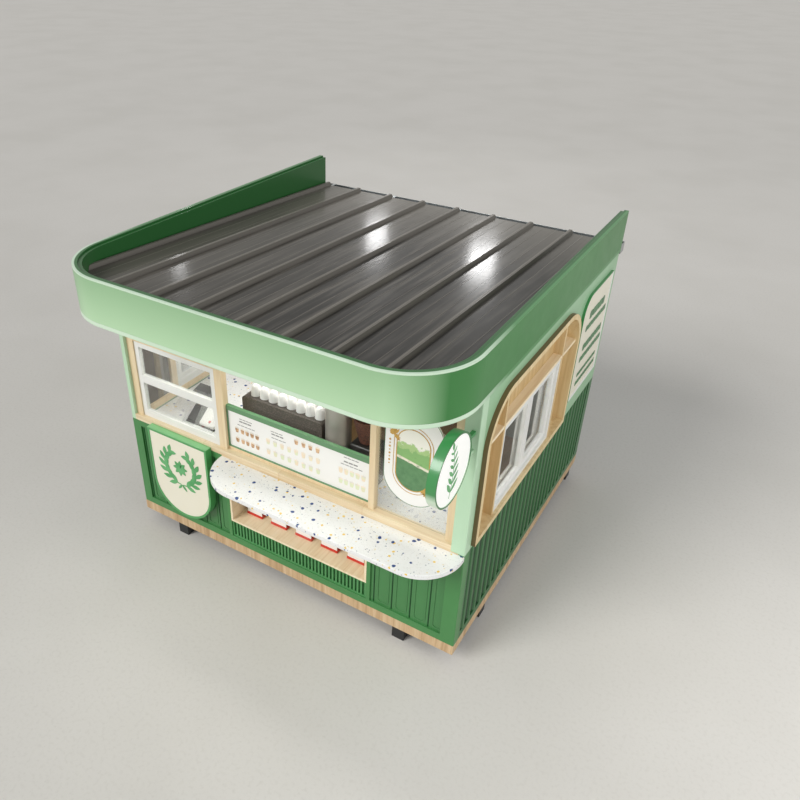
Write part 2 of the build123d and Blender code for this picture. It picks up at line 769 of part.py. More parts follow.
with BuildPart() as roof_sheet:
    with BuildSketch(Plane.XZ.offset(-sheet_front)):
        edges_rectangle(-inner_canopy_side, inner_canopy_side, pan_z - sheet_thickness, pan_z)
        with Locations((0, pan_z)):
            with GridLocations(rib_pitch, 0, rib_count, 1):
                Polygon((-rib_base / 2, 0), (-rib_top / 2, rib_height), (rib_top / 2, rib_height),
                        (rib_base / 2, 0), align=None)
        with Locations((0, pan_z)):
            with GridLocations(rib_pitch, 0, rib_count, 1):
                Polygon((-rib_base / 2 + sheet_thickness, -sheet_thickness),
                        (-rib_top / 2 + sheet_thickness, rib_height - sheet_thickness),
                        (rib_top / 2 - sheet_thickness, rib_height - sheet_thickness),
                        (rib_base / 2 - sheet_thickness, -sheet_thickness), align=None,
                        mode=Mode.SUBTRACT)
    extrude(amount=sheet_rear - sheet_front, dir=(0, 1, -roof_fall))
    with BuildSketch(Plane.XY.offset(eaves_z)):
        add(canopy_face(canopy_thickness + sheet_gap, sheet_rear))
    extrude(amount=canopy_height, mode=Mode.INTERSECT)
save(roof_sheet, "roof_sheet")


purlin_first = front + soffit_bearing
purlin_step = (back - purlin_width - purlin_first) / (purlin_count - 1)
beams = [(inner_canopy_front, eaves_z + soffit_thickness, half_width - canopy_radius)]
beams += [(purlin_first + i * purlin_step, eaves_z, inner_canopy_side) for i in range(purlin_count)]
with BuildPart() as purlins:
    for y0, z0, half_length in beams:
        y1 = y0 + purlin_width
        with BuildSketch(side_plane(-half_length)):
            with BuildLine():
                Polyline((y0, z0), (y1, z0), (y1, roof_z(y1) - sheet_thickness),
                         (y0, roof_z(y0) - sheet_thickness), close=True)
            make_face()
        extrude(amount=2 * half_length)
save(purlins, "purlins")

gutter_top = roof_z(sheet_rear) - sheet_thickness - gutter_clear
with BuildPart() as gutter:
    with BuildSketch(side_plane(-half_width)):
        edges_rectangle(canopy_rear, canopy_rear + gutter_width, gutter_top - gutter_height, gutter_top)
    extrude(amount=body_width)
    with BuildSketch(side_plane(-half_width + gutter_wall)):
        edges_rectangle(canopy_rear + gutter_wall, canopy_rear + gutter_width - gutter_wall,
                        gutter_top - gutter_height + gutter_wall, gutter_top)
    extrude(amount=body_width - 2 * gutter_wall, mode=Mode.SUBTRACT)
save(gutter, "gutter")

# ================================================================ signs
shield_top = split_z + shield_rise
shield_left = -half_width + shield_margin
shield_right = shield_left + shield_width
shield_radius = shield_width / 2
shield_inside = u_face(shield_left + shield_rim, shield_right - shield_rim,
                       shield_top - shield_height + shield_rim, shield_top - shield_rim,
                       shield_radius - shield_rim)
with BuildPart() as shield_rim_ring:
    with BuildSketch(front_plane(front)):
        add(u_face(shield_left, shield_right, shield_top - shield_height, shield_top, shield_radius))
        add(shield_inside, mode=Mode.SUBTRACT)
    extrude(amount=shield_depth)
save(shield_rim_ring, "shield_rim")

with BuildPart() as shield_face:
    with BuildSketch(front_plane(front - shield_depth + shield_face_recess)):
        add(shield_inside)
    extrude(amount=-shield_face_thickness)
save(shield_face, "shield_face")

disc_z = eaves_z - disc_top_gap - disc_diameter / 2
disc_centre = (front - disc_gap - disc_diameter / 2, disc_z)
disc_out = half_width - disc_side_margin
disc_x = disc_out - disc_thickness
with BuildPart() as disc_sign:
    with BuildSketch(side_plane(disc_x)):
        with Locations(disc_centre):
            Circle(disc_diameter / 2)
            Circle(disc_diameter / 2 - disc_rim, mode=Mode.SUBTRACT)
    extrude(amount=disc_thickness)
    with BuildSketch(front_plane(front)):
        with Locations((disc_x + disc_thickness / 2, disc_z)):
            with GridLocations(0, disc_bar_spread, 1, 2):
                Rectangle(disc_bar, disc_bar)
    extrude(amount=disc_gap + disc_bar_bite)
save(disc_sign, "disc_sign")

with BuildPart() as disc_faces:
    for x in (disc_x + disc_face_recess, disc_out - disc_face_recess - disc_face_thickness):
        with BuildSketch(side_plane(x)):
            with Locations(disc_centre):
                Circle(disc_diameter / 2 - disc_rim)
        extrude(amount=disc_face_thickness)
save(disc_faces, "disc_faces")

with BuildPart() as side_board_border:
    with BuildSketch(side_plane(half_width)):
        add(board_face(0))
        add(board_face(side_board_rim), mode=Mode.SUBTRACT)
    extrude(amount=side_board_thickness)
save(side_board_border, "side_board_border")

with BuildPart() as side_board:
    with BuildSketch(side_plane(half_width)):
        add(board_face(side_board_rim))
    extrude(amount=side_board_face)
save(side_board, "side_board")
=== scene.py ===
"""Street kiosk: the finishes, printed signs, small fittings, floor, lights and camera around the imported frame."""
import math

import bmesh
import bpy
from mathutils import Matrix, Vector


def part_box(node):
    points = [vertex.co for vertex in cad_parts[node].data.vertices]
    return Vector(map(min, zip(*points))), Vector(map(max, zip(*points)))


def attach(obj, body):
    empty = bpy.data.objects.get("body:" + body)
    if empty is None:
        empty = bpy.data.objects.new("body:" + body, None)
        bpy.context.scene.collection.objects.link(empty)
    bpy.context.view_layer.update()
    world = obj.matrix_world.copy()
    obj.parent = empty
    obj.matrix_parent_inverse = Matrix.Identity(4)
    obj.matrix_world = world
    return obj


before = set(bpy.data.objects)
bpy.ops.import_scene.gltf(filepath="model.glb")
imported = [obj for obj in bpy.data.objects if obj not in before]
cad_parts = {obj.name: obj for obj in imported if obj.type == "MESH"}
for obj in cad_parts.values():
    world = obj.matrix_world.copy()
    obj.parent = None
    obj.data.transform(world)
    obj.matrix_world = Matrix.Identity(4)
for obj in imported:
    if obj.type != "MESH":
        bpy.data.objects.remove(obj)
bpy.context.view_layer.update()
ROOT = "root"


# ---------------------------------------------------------------- materials
def tone(code):
    """A colour as the shader wants it, from its usual six-digit code."""
    parts = [int(code[i:i + 2], 16) / 255 for i in (1, 3, 5)]
    return tuple(c / 12.92 if c <= 0.04045 else ((c + 0.055) / 1.055) ** 2.4 for c in parts) + (1.0,)


class Finish:
    """A procedural material that is built up from its object coordinates."""

    def __init__(self, name, color, roughness, **sockets):
        self.material = bpy.data.materials.new(name)
        self.material.use_nodes = True
        self.tree = self.material.node_tree
        self.shader = self.tree.nodes["Principled BSDF"]
        self.base = tone(color)
        self.shader.inputs["Base Color"].default_value = self.base
        self.shader.inputs["Roughness"].default_value = roughness
        for socket, value in sockets.items():
            self.shader.inputs[socket.replace("_", " ")].default_value = value
        self.place = self.node("ShaderNodeTexCoord").outputs["Object"]
        self.normal = None

    def node(self, kind, inputs=(), **settings):
        """A new node, with its settings and its inputs, which are values or other nodes' outputs."""
        made = self.tree.nodes.new(kind)
        for key, value in settings.items():
            setattr(made, key, value)
        for key, value in dict(inputs).items():
            if isinstance(value, bpy.types.NodeSocket):
                self.tree.links.new(value, made.inputs[key])
            else:
                made.inputs[key].default_value = value
        return made

    def math(self, operation, first, second=0.5):
        """One sum, as an output."""
        return self.node("ShaderNodeMath", {0: first, 1: second}, operation=operation).outputs[0]

    def along(self, axis):
        """One coordinate in metres, as an output."""
        return self.node("ShaderNodeSeparateXYZ", {0: self.place}).outputs[axis.upper()]

    def off_middle(self, axis, middle=0.0):
        """How far one coordinate is from a middle value, either way."""
        return self.math("ABSOLUTE", self.math("SUBTRACT", self.along(axis), middle))

    def off_line(self, axis, pitch, start=0.0):
        """How far one coordinate is from the nearest of some evenly spaced lines, as a share of their pitch."""
        steps = self.math("DIVIDE", self.math("SUBTRACT", self.along(axis), start), pitch)
        return self.math("PINGPONG", steps, 0.5)

    def corner_reach(self, first, second):
        """The distance out from a rounded corner's centre, from the distances past it in two directions."""
        squares = [self.math("POWER", self.math("MAXIMUM", way, 0.0), 2.0) for way in (first, second)]
        return self.math("SQRT", self.math("ADD", *squares))

    def noise(self, scale, detail=3.0, roughness=0.5, distortion=0.0, stretch=(1, 1, 1)):
        """A soft random pattern from 0 to 1, with its scale in waves a metre and a stretch for each axis."""
        vector = self.node("ShaderNodeMapping", {"Vector": self.place, "Scale": stretch}).outputs[0]
        return self.node("ShaderNodeTexNoise", {"Vector": vector, "Scale": scale, "Detail": detail,
                                                "Roughness": roughness, "Distortion": distortion}).outputs[0]

    def spread(self, factor, low, high, to_low=0.0, to_high=1.0):
        """A pattern's range from low to high, spread to another range."""
        return self.node("ShaderNodeMapRange", {"Value": factor, "From Min": low, "From Max": high,
                                                "To Min": to_low, "To Max": to_high}).outputs[0]

    def paint_over(self, color, factor):
        """Another colour over what is there, where the factor is 1."""
        mix = self.node("ShaderNodeMix", {0: factor, 6: self.base, 7: tone(color)}, data_type="RGBA")
        self.base = mix.outputs[2]
        self.tree.links.new(self.base, self.shader.inputs["Base Color"])

    def fade_in(self, color, pattern, none, full, most=1.0):
        """Another colour over what is there, absent at one value of a pattern and at its most at a second."""
        self.paint_over(color, self.spread(pattern, none, full, 0.0, most))

    def roughen(self, pattern, low, high):
        """Roughness that follows a pattern from 0 to 1."""
        self.tree.links.new(self.spread(pattern, 0.0, 1.0, low, high), self.shader.inputs["Roughness"])

    def soften_edges(self, radius):
        """Light catches the edges as if they were rounded."""
        self.normal = self.node("ShaderNodeBevel", {"Radius": radius}, samples=4).outputs[0]
        self.tree.links.new(self.normal, self.shader.inputs["Normal"])

    def emboss(self, height, distance, strength=1.0):
        """A pattern raised by a distance in metres."""
        inputs = {"Height": height, "Distance": distance, "Strength": strength}
        if self.normal:
            inputs["Normal"] = self.normal
        self.normal = self.node("ShaderNodeBump", inputs).outputs[0]
        self.tree.links.new(self.normal, self.shader.inputs["Normal"])


def paint(name, color, shade, roughness, coat=0.0, edge=0.0025, lift=None):
    """Sprayed paint on boards or sheet: faint clouds, fine orange peel and soft edges.

    A lift is painted light: another tone, the heights where it is absent and at its most, and how strong it gets."""
    finish = Finish(name, color, roughness, Coat_Weight=coat, Coat_Roughness=0.12)
    finish.fade_in(shade, finish.noise(1.7, 4.0, 0.6), 0.35, 0.75)
    if lift:
        light, none, full, most = lift
        finish.fade_in(light, finish.along("z"), none, full, most)
    finish.roughen(finish.noise(9.0, 3.0), roughness - 0.05, roughness + 0.07)
    finish.soften_edges(edge)
    finish.emboss(finish.noise(240.0, 2.0), 0.00012)
    return finish


GRAINS = {"x": (0.05, 1.0, 1.0), "y": (1.0, 0.05, 1.0), "z": (1.0, 1.0, 0.05)}


def timber(name, color, dark, light, along, roughness=0.5, board=0.0, contrast=0.5):
    """Planed softwood with its grain along one axis, and board joints a set length apart."""
    finish = Finish(name, color, roughness, Coat_Weight=0.12, Coat_Roughness=0.3)
    bands = finish.noise(24.0, 5.0, 0.6, 0.6, GRAINS[along])
    finish.fade_in(dark, bands, 0.48, 0.72, contrast)
    finish.fade_in(light, bands, 0.47, 0.28, contrast)
    pores = finish.noise(150.0, 3.0, 0.7, stretch=GRAINS[along])
    finish.fade_in(dark, pores, 0.56, 0.74, contrast * 0.6)
    if board:
        number = finish.math("FLOOR", finish.math("DIVIDE", finish.along(along), board))
        tint = finish.node("ShaderNodeTexWhiteNoise", {"W": number}, noise_dimensions="1D").outputs[0]
        finish.paint_over(dark, finish.math("MULTIPLY", tint, 0.35))
        finish.fade_in(dark, finish.off_line(along, board), 0.004, 0.0, 0.85)
    finish.roughen(bands, roughness - 0.06, roughness + 0.1)
    finish.soften_edges(0.0022)
    finish.emboss(pores, 0.0002)
    return finish


BACK_BOARD_X = 1.4355
HAIR = 0.001


def back_boards(name):
    """The boards behind the side compartments: timber outside and a dark grey-brown on their inner faces."""
    finish = timber(name, "#C9AB78", "#A38253", "#DCC497", "z", 0.55)
    finish.fade_in("#5A534B", finish.off_middle("x"), BACK_BOARD_X + HAIR, BACK_BOARD_X)
    return finish


HOOD_RADIUS = 0.345


def hood_boards(name):
    """The side windows' hood: pine, with painted shade, a dark brown, on the outer edges that stand proud of the
    wall.
    """
    finish = timber(name, "#DDC798", "#BC9C6A", "#ECDCB6", "z", contrast=0.6)
    low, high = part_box("window_hoods")
    middle = (low[1] + high[1]) / 2
    aside = finish.math("SUBTRACT", finish.off_middle("y", middle), high[1] - middle - HOOD_RADIUS)
    above = finish.math("SUBTRACT", finish.along("z"), high[2] - HOOD_RADIUS)
    # Painted shade: dark brown on the outer edges that stand proud of the wall.
    finish.fade_in("#725E39", finish.corner_reach(aside, above), HOOD_RADIUS - 2 * HAIR, HOOD_RADIUS - HAIR)
    return finish


# Each kind of chip: how many there are to a metre, their size, the pattern's shift and the colour.
CHIPS = ((75.0, 0.17, 5.3, "#C4C4C3"), (30.0, 0.15, 7.1, "#9CA0AA"), (21.0, 0.14, 11.3, "#E6DAB8"),
         (15.5, 0.16, 3.7, "#E8C765"), (13.5, 0.19, 0.0, "#2A4680"))
CHIP_BLUR = 0.025


def terrazzo(name):
    """White terrazzo with chips of navy, amber and grey, ground flat and polished."""
    finish = Finish(name, "#EBEBEA", 0.25, Coat_Weight=0.25, Coat_Roughness=0.1)
    finish.fade_in("#DDDBD6", finish.noise(60.0, 3.0), 0.5, 0.8, 0.5)
    warp = finish.node("ShaderNodeTexNoise", {"Vector": finish.place, "Scale": 55.0, "Detail": 2.0}).outputs[1]
    bent = finish.node("ShaderNodeMix", {0: 0.012, 4: finish.place, 5: warp}, data_type="VECTOR").outputs[1]
    for scale, size, shift, color in CHIPS:
        moved = finish.node("ShaderNodeMapping", {"Vector": bent, "Location": (shift, shift, shift)}).outputs[0]
        cells = finish.node("ShaderNodeTexVoronoi", {"Vector": moved, "Scale": scale})
        finish.fade_in(color, cells.outputs["Distance"], size, size - CHIP_BLUR)
    finish.soften_edges(0.003)
    return finish


RIB_PITCH = 0.352
LINES_TO_A_RIB = 3


def roof_steel(name):
    """Dark coated roof sheet: soft streaks down the slope, painted reflection that makes it lighter to the left and
    to the rear, painted shade that makes it darker to the right, painted highlights that make the ribs and
    stiffening lines paler, and a glossy coat.
    """
    finish = Finish(name, "#2A2927", 0.42, Specular_IOR_Level=0.15, Coat_Weight=0.33, Coat_Roughness=0.13,
                    Coat_Tint=tone("#F6F2EA"))
    streaks = finish.noise(26.0, 2.0, 0.5, stretch=(1.0, 0.014, 1.0))
    finish.fade_in("#151513", streaks, 0.42, 0.64, 0.75)
    finish.fade_in("#6F6B64", streaks, 0.52, 0.26, 0.65)
    # Painted reflection: lighter towards the left.
    finish.fade_in("#5E5B55", finish.along("x"), 0.2, -1.3, 0.75)
    # Painted shade: darker towards the right.
    finish.fade_in("#181817", finish.along("x"), 0.2, 1.4, 0.5)
    # Painted reflection: lighter towards the rear.
    finish.fade_in("#7A766E", finish.along("y"), 0.4, 1.6, 0.7)
    # Painted highlight along the ribs.
    finish.fade_in("#77736C", finish.off_line("x", RIB_PITCH), 0.085, 0.055, 0.75)
    # Painted highlight along the stiffening lines, which are also raised below.
    line = finish.spread(finish.off_line("x", RIB_PITCH / LINES_TO_A_RIB), 0.06, 0.0)
    finish.paint_over("#7D7971", finish.math("MULTIPLY", line, 0.6))
    finish.roughen(finish.noise(5.0, 4.0, 0.6), 0.34, 0.48)
    finish.soften_edges(0.004)
    finish.emboss(finish.noise(2.2, 2.0), 0.004, 0.4)
    finish.emboss(line, 0.003, 0.9)
    return finish


CORNER_X = 1.02
CORNER_Y = -1.235
FASCIA_INNER = 0.45
TRIM_INNER = 0.463
INNER_BLUR = 0.002


def canopy_paint(name, color, shade):
    """Gloss paint for what runs round the canopy, and the distance out from its corners' centres."""
    finish = paint(name, color, shade, 0.32, 0.12, 0.006)
    finish.shader.inputs["Specular IOR Level"].default_value = 0.3
    aside = finish.math("SUBTRACT", finish.off_middle("x"), CORNER_X)
    ahead = finish.math("SUBTRACT", CORNER_Y, finish.along("y"))
    return finish, finish.corner_reach(aside, ahead)


def fascia_paint(name):
    """The fascia, with painted light that makes it paler at the front, most of all at its foot, and painted shade
    that makes its inner face dark green.
    """
    finish, reach = canopy_paint(name, "#3B7E3F", "#357539")
    # Painted light: paler at the front, most of all at its foot.
    front = finish.spread(finish.along("y"), -1.5, -1.7)
    foot = finish.spread(finish.along("z"), 3.1, 2.27, 0.0, 0.95)
    finish.paint_over("#BDDFB6", finish.math("MULTIPLY", front, foot))
    # Painted shade on the inner face.
    finish.fade_in("#2C6632", reach, FASCIA_INNER + INNER_BLUR, FASCIA_INNER - INNER_BLUR)
    return finish


def trim_paint(name):
    """The fascia's edging: pale in front, with painted shade that makes it greener along the sides, and dark green
    on its inner half, which is partly its own green and partly painted shade.
    """
    finish, reach = canopy_paint(name, "#D3E9D1", "#C8E0C7")
    # Painted shade: greener along the sides.
    finish.fade_in("#47884C", finish.along("y"), -1.3, -0.8, 0.95)
    # Partly the inner strip's own green, partly painted shade.
    finish.fade_in("#2F6B35", reach, TRIM_INNER + INNER_BLUR, TRIM_INNER - INNER_BLUR)
    return finish


BOARD_PITCH = 0.151
# Each cladding panel: where one of its joints is, and its side of the middle.
PANELS = ((1.283, 1), (-0.642, -1))


def grooved_paint(name):
    """The front cladding's green, with painted shade that makes its board joints a shade darker."""
    finish = paint(name, "#407E45", "#39753E", 0.38, 0.2)
    for joint, side in PANELS:
        line = finish.spread(finish.off_line("x", BOARD_PITCH, joint), 0.045, 0.025)
        panel = finish.spread(finish.along("x"), side * 0.05, side * 0.1)
        # Painted shade in the board joints.
        finish.paint_over("#1E5B2B", finish.math("MULTIPLY", line, panel))
    return finish


WALL_X = 1.5
WALL_BACK = 1.585
SLAT_DEPTH = 0.015
WALL_DEPTH = 0.05


def outer_paint(name, inner_color, shallow, deep):
    """The lower walls' deep green, with another colour from one depth behind their outer faces to a second: painted
    shade in the slats' valleys, and the colour of the walls' inner faces.
    """
    finish = paint(name, "#256730", "#205D2A", 0.36, 0.2)
    proud = finish.math("MAXIMUM", finish.math("SUBTRACT", finish.off_middle("x"), WALL_X),
                        finish.math("SUBTRACT", finish.along("y"), WALL_BACK))
    finish.fade_in(inner_color, proud, -shallow, -deep)
    return finish


def clear_glass(name):
    """Window glass, a little green."""
    finish = Finish(name, "#E4EFE9", 0.02, Transmission_Weight=1.0, IOR=1.3, Alpha=0.25)
    finish.roughen(finish.noise(3.0), 0.01, 0.04)
    return finish


def metal(name, color, roughness, metallic=1.0):
    """Plain metal with a faint upright brushed pattern."""
    finish = Finish(name, color, roughness, Metallic=metallic)
    brushed = finish.noise(180.0, 3.0, stretch=(1.0, 1.0, 0.08))
    finish.roughen(brushed, roughness - 0.06, roughness + 0.1)
    finish.soften_edges(0.0015)
    finish.emboss(brushed, 0.00005)
    return finish


def board_print(name, color, roughness=0.35, second=None, scale=3.0, tooth=0.00005):
    """A printed surface with a fine tooth, in one colour or in two that run into each other."""
    finish = Finish(name, color, roughness, Coat_Weight=0.2, Coat_Roughness=0.2)
    if second:
        finish.fade_in(second, finish.noise(scale, 2.0), 0.42, 0.58)
    else:
        finish.fade_in("#FFFFFF", finish.noise(scale), 0.4, 0.7, 0.06)
    finish.emboss(finish.noise(320.0, 2.0), tooth)
    return finish


def opal(name):
    """A sign's milky face, with a faint glow that is painted light."""
    # The emission is painted light: the face is no lamp.
    finish = Finish(name, "#EDEDEA", 0.3, Coat_Weight=0.3, Emission_Color=tone("#F4F4F0"), Emission_Strength=0.28)
    finish.fade_in("#FFFFFF", finish.noise(4.0), 0.4, 0.7, 0.1)
    finish.emboss(finish.noise(300.0, 2.0), 0.00003)
    return finish


def grainy_shell(name, color, light, roughness):
    """Powder-coated machine casing with a fine speckle."""
    finish = Finish(name, color, roughness, Coat_Weight=0.3, Coat_Roughness=0.2)
    finish.fade_in(light, finish.noise(130.0, 3.0, 0.7), 0.48, 0.62, 0.75)
    finish.roughen(finish.noise(12.0), roughness - 0.06, roughness + 0.08)
    finish.soften_edges(0.004)
    finish.emboss(finish.noise(420.0, 2.0), 0.00008)
    return finish


TREE_TOPS = 1.69
TREE_SHADE = 1.645
PATH_TOP = 1.83
MEADOW_TOP = 1.8


def hill_picture(name):
    """A plain painted view: a dark meadow, a row of light green trees and a pale sky."""
    finish = Finish(name, "#F3F1E6", 0.35, Coat_Weight=0.2, Coat_Roughness=0.2)
    height = finish.along("z")
    leaves = finish.noise(26.0, 4.0, 0.6)
    trees = finish.math("ADD", height, finish.math("MULTIPLY", leaves, -0.16))
    finish.fade_in("#A9C886", trees, TREE_TOPS, TREE_TOPS - 0.015)
    finish.fade_in("#86B36E", trees, TREE_SHADE, TREE_SHADE - 0.015)
    path = finish.math("ADD", height, finish.math("MULTIPLY", finish.along("x"), 0.18))
    finish.fade_in("#E9E2CC", path, PATH_TOP, PATH_TOP - 0.005)
    meadow = finish.math("ADD", path, finish.math("MULTIPLY", leaves, -0.02))
    finish.fade_in("#5D8A5C", meadow, MEADOW_TOP, MEADOW_TOP - 0.005)
    finish.fade_in("#47754B", finish.math("ADD", meadow, leaves), 2.3, 2.0, 0.8)
    finish.emboss(leaves, 0.0002)
    return finish


# Painted light: the shield rim's top face a lighter green.
SHIELD_TOP_PAINTED_LIGHT = ("#7DB97F", 1.106, 1.1095, 0.8)
# Painted light: the round sign's rim paler towards its foot, as if lit from below.
DISC_FOOT_PAINTED_LIGHT = ("#DDF3DA", 1.96, 1.9, 0.92)

MINT = paint("mint_paint", "#BAD9B9", "#B1D2B1", 0.42, 0.2)
# A darker copy of the mint: painted shade on the side and back walls.
SHADED_SIDE_MINT = paint("shaded_side_mint_paint", "#98C099", "#90B991", 0.42, 0.2)
GREEN = paint("green_paint", "#438447", "#3C7B40", 0.38, 0.2)
CLADDING = grooved_paint("cladding_green")
GRILLE = paint("grille_green", "#4C8F53", "#45864B", 0.4, 0.15)
# A darker copy of the grille's green: painted shade on the screen behind the bars.
SHADED_SCREEN = paint("vent_screen_paint", "#3A7442", "#336A3B", 0.6)
SHIELD = paint("shield_green", "#4E9F5A", "#469551", 0.32, 0.4, lift=SHIELD_TOP_PAINTED_LIGHT)
# Painted shade darkens the slats' valleys.
SLAT_GREEN = outer_paint("slat_green_paint", "#0D3316", 0.25 * SLAT_DEPTH, 0.95 * SLAT_DEPTH)
INNER_WALL = outer_paint("inner_wall_paint", "#7B8077", WALL_DEPTH, WALL_DEPTH + HAIR)
FASCIA = fascia_paint("fascia_gloss")
TRIM = trim_paint("trim_gloss")
SOFFIT = paint("soffit_paint", "#CFE6CE", "#C4DDC4", 0.34, 0.4)
SIGN_GREEN = paint("sign_green_paint", "#3F9150", "#37864A", 0.3, 0.5)
BOARD_FRAME = paint("board_frame_paint", "#618E64", "#58855C", 0.35, 0.3)
DISC_GREEN = paint("disc_green_paint", "#3C8D4D", "#358346", 0.3, 0.5, lift=DISC_FOOT_PAINTED_LIGHT)
WHITE = paint("white_paint", "#EAEAE6", "#E0E0DB", 0.36, 0.3)
PINE_X = timber("pine_across", "#E6D4B2", "#C9A97D", "#F2E5CA", "x", board=0.72, contrast=0.65)
PINE_Y = timber("pine_deep", "#F0DFBE", "#D4B486", "#F6E9D0", "y", contrast=0.6)
PINE_Z = timber("pine_upright", "#E4CFAA", "#CDAE83", "#EFDEBF", "z")
PLINTH = timber("plinth_pine", "#C6A881", "#936F48", "#DCC6A2", "z", 0.6, contrast=0.7)
BACK_BOARD = back_boards("back_board")
DIVIDER = timber("divider_board", "#D6BC8C", "#B39461", "#E4CEA4", "z", 0.55)
HOOD = hood_boards("hood_pine")
DECK = timber("deck_board", "#8C6E4C", "#6E5336", "#9E8060", "y", 0.6)
TERRAZZO = terrazzo("terrazzo")
ROOF = roof_steel("roof_steel")
GLASS = clear_glass("clear_glass")
BLACK = paint("black_steel_paint", "#1E1F20", "#28292A", 0.45)
MACHINE = grainy_shell("machine_shell", "#4C4640", "#746B61", 0.42)
DARK = grainy_shell("dark_shell", "#201F1E", "#2F2D2B", 0.38)
GUTTER = metal("gutter_steel", "#B9BDBE", 0.35)
STEEL = metal("bright_steel", "#D4D6D6", 0.24)
URN = metal("urn_steel", "#BDB9B2", 0.42, 0.75)
CARD = board_print("box_card", "#C9C6BD", 0.6, "#8E8A80", 45.0)
RED = board_print("red_band", "#C9260E", 0.4)
CREAM = board_print("cream_board", "#E8E3CF")
SHEET = board_print("white_board", "#EFEEEA")
OPAL = opal("opal_face")
GOLD = board_print("gold_line", "#C9A04E", 0.3, "#B5893A", 20.0)
INK = board_print("line_ink", "#8C8B88")
LEAF_INK = board_print("leaf_ink", "#4C9E5B", 0.35, "#62AE6E", 12.0)
BOARD_INK = board_print("board_ink", "#2C6B39", 0.35, "#35773F", 9.0)
CUP = board_print("paper_cup", "#ECEBE8", 0.5)
DRINK_BROWN = board_print("drink_brown", "#D6B088", 0.35, "#A67F58", 30.0)
DRINK_PALE = board_print("drink_pale", "#EDDCC0", 0.35, "#DCE3BF", 11.0)
DRINK_TOP = board_print("drink_top", "#F0E2CC", 0.35, "#DDD9CF", 15.0)
TEA = board_print("tea_leaves", "#6B3F2E", 0.7, "#3E2A22", 130.0, 0.002)
PICTURE = hill_picture("hill_picture")

NODE_FINISHES = {
    MINT: ("front_upper_wall",),
    SHADED_SIDE_MINT: ("side_upper_walls", "back_upper_wall"),
    GREEN: ("front_lower_frame",),
    CLADDING: ("front_cladding",),
    GRILLE: ("vent_grille",),
    SHIELD: ("shield_rim",),
    BOARD_FRAME: ("menu_frame",),
    SLAT_GREEN: ("side_wainscots", "back_wainscot"),
    INNER_WALL: ("side_lower_walls", "back_lower_wall"),
    FASCIA: ("fascia",),
    TRIM: ("fascia_trims",),
    SOFFIT: ("soffit",),
    SIGN_GREEN: ("side_board_border",),
    DISC_GREEN: ("disc_sign",),
    WHITE: ("front_sash", "side_sashes"),
    PINE_X: ("front_sill",),
    PINE_Y: ("niche_box", "window_shelves"),
    PINE_Z: ("front_posts", "counter_gables"),
    HOOD: ("window_hoods",),
    PLINTH: ("plinth",),
    BACK_BOARD: ("window_backs",),
    DIVIDER: ("window_dividers",),
    DECK: ("floor_deck",),
    TERRAZZO: ("counter_top", "inner_counter"),
    ROOF: ("roof_sheet",),
    GLASS: ("front_glass", "side_glass"),
    BLACK: ("feet", "base_frame", "purlins"),
    MACHINE: ("drinks_machine",),
    GUTTER: ("gutter",),
    CARD: ("display_boxes",),
    CREAM: ("shield_face", "side_board"),
    SHEET: ("menu_board", "hanging_sign"),
    OPAL: ("disc_faces",),
}
for finish, names in NODE_FINISHES.items():
    for name in names:
        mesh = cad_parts[name].data
        mesh.materials.clear()
        mesh.materials.append(finish.material)


# ---------------------------------------------------------------- ways to make a piece
def finish_piece(name, form, finish):
    """The piece from its finished form. It stays with the kiosk's one body."""
    bmesh.ops.remove_doubles(form, verts=form.verts[:], dist=1e-6)
    bmesh.ops.recalc_face_normals(form, faces=form.faces[:])
    mesh = bpy.data.meshes.new(name)
    form.to_mesh(mesh)
    form.free()
    mesh.materials.append(finish.material)
    made = bpy.data.objects.new(name, mesh)
    bpy.context.scene.collection.objects.link(made)
    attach(made, ROOT)
    return made


def smooth_shade(made, angle):
    """Smooth shading, with edges sharper than an angle kept."""
    for face in made.data.polygons:
        face.use_smooth = True
    made.data.set_sharp_from_angle(angle=angle)


def fit_between(form, verts, low, high):
    """A shape one metre wide, scaled and moved to fill the space between two corners."""
    bmesh.ops.scale(form, vec=[b - a for a, b in zip(low, high)], verts=verts)
    bmesh.ops.translate(form, vec=[(a + b) / 2 for a, b in zip(low, high)], verts=verts)


def round_off(form, parts, radius, segments, kind="VERTICES"):
    """A flat shape's corners, or a solid shape's edges, rounded."""
    bmesh.ops.bevel(form, geom=parts, offset=radius, segments=segments, profile=0.5, affect=kind, material=-1)


def round_edges(form, verts, radius, segments=2):
    """All edges of a solid shape, rounded."""
    round_off(form, list({edge for vert in verts for edge in vert.link_edges}), radius, segments, "EDGES")


def block(form, low, high, edge=0.0, segments=2):
    """A block between two corners, with rounded edges."""
    made = bmesh.ops.create_cube(form, size=1.0)["verts"]
    fit_between(form, made, low, high)
    if edge:
        round_edges(form, made, edge, segments)


def wedge(form, low, high, front_height, lean=0.0):
    """A block whose top slopes down to a share of its height in front, its sides drawn in towards the top."""
    made = bmesh.ops.create_cube(form, size=1.0)["verts"]
    for vert in made:
        if vert.co.z > 0:
            vert.co.x -= math.copysign(lean, vert.co.x) / (high[0] - low[0])
            if vert.co.y < 0:
                vert.co.z = front_height - 0.5
    fit_between(form, made, low, high)
    round_edges(form, made, 0.003)


def turned(form, outline, place, steps=32):
    """A turned shape: an outline of radius and height, spun about an upright axis."""
    verts = [form.verts.new((radius, 0.0, height)) for radius, height in outline]
    edges = [form.edges.new(pair) for pair in zip(verts, verts[1:])]
    bmesh.ops.translate(form, vec=place, verts=verts)
    bmesh.ops.spin(form, geom=verts + edges, cent=place, axis=(0, 0, 1), dvec=(0, 0, 0), angle=math.tau,
                   steps=steps, use_merge=True, use_duplicate=False)


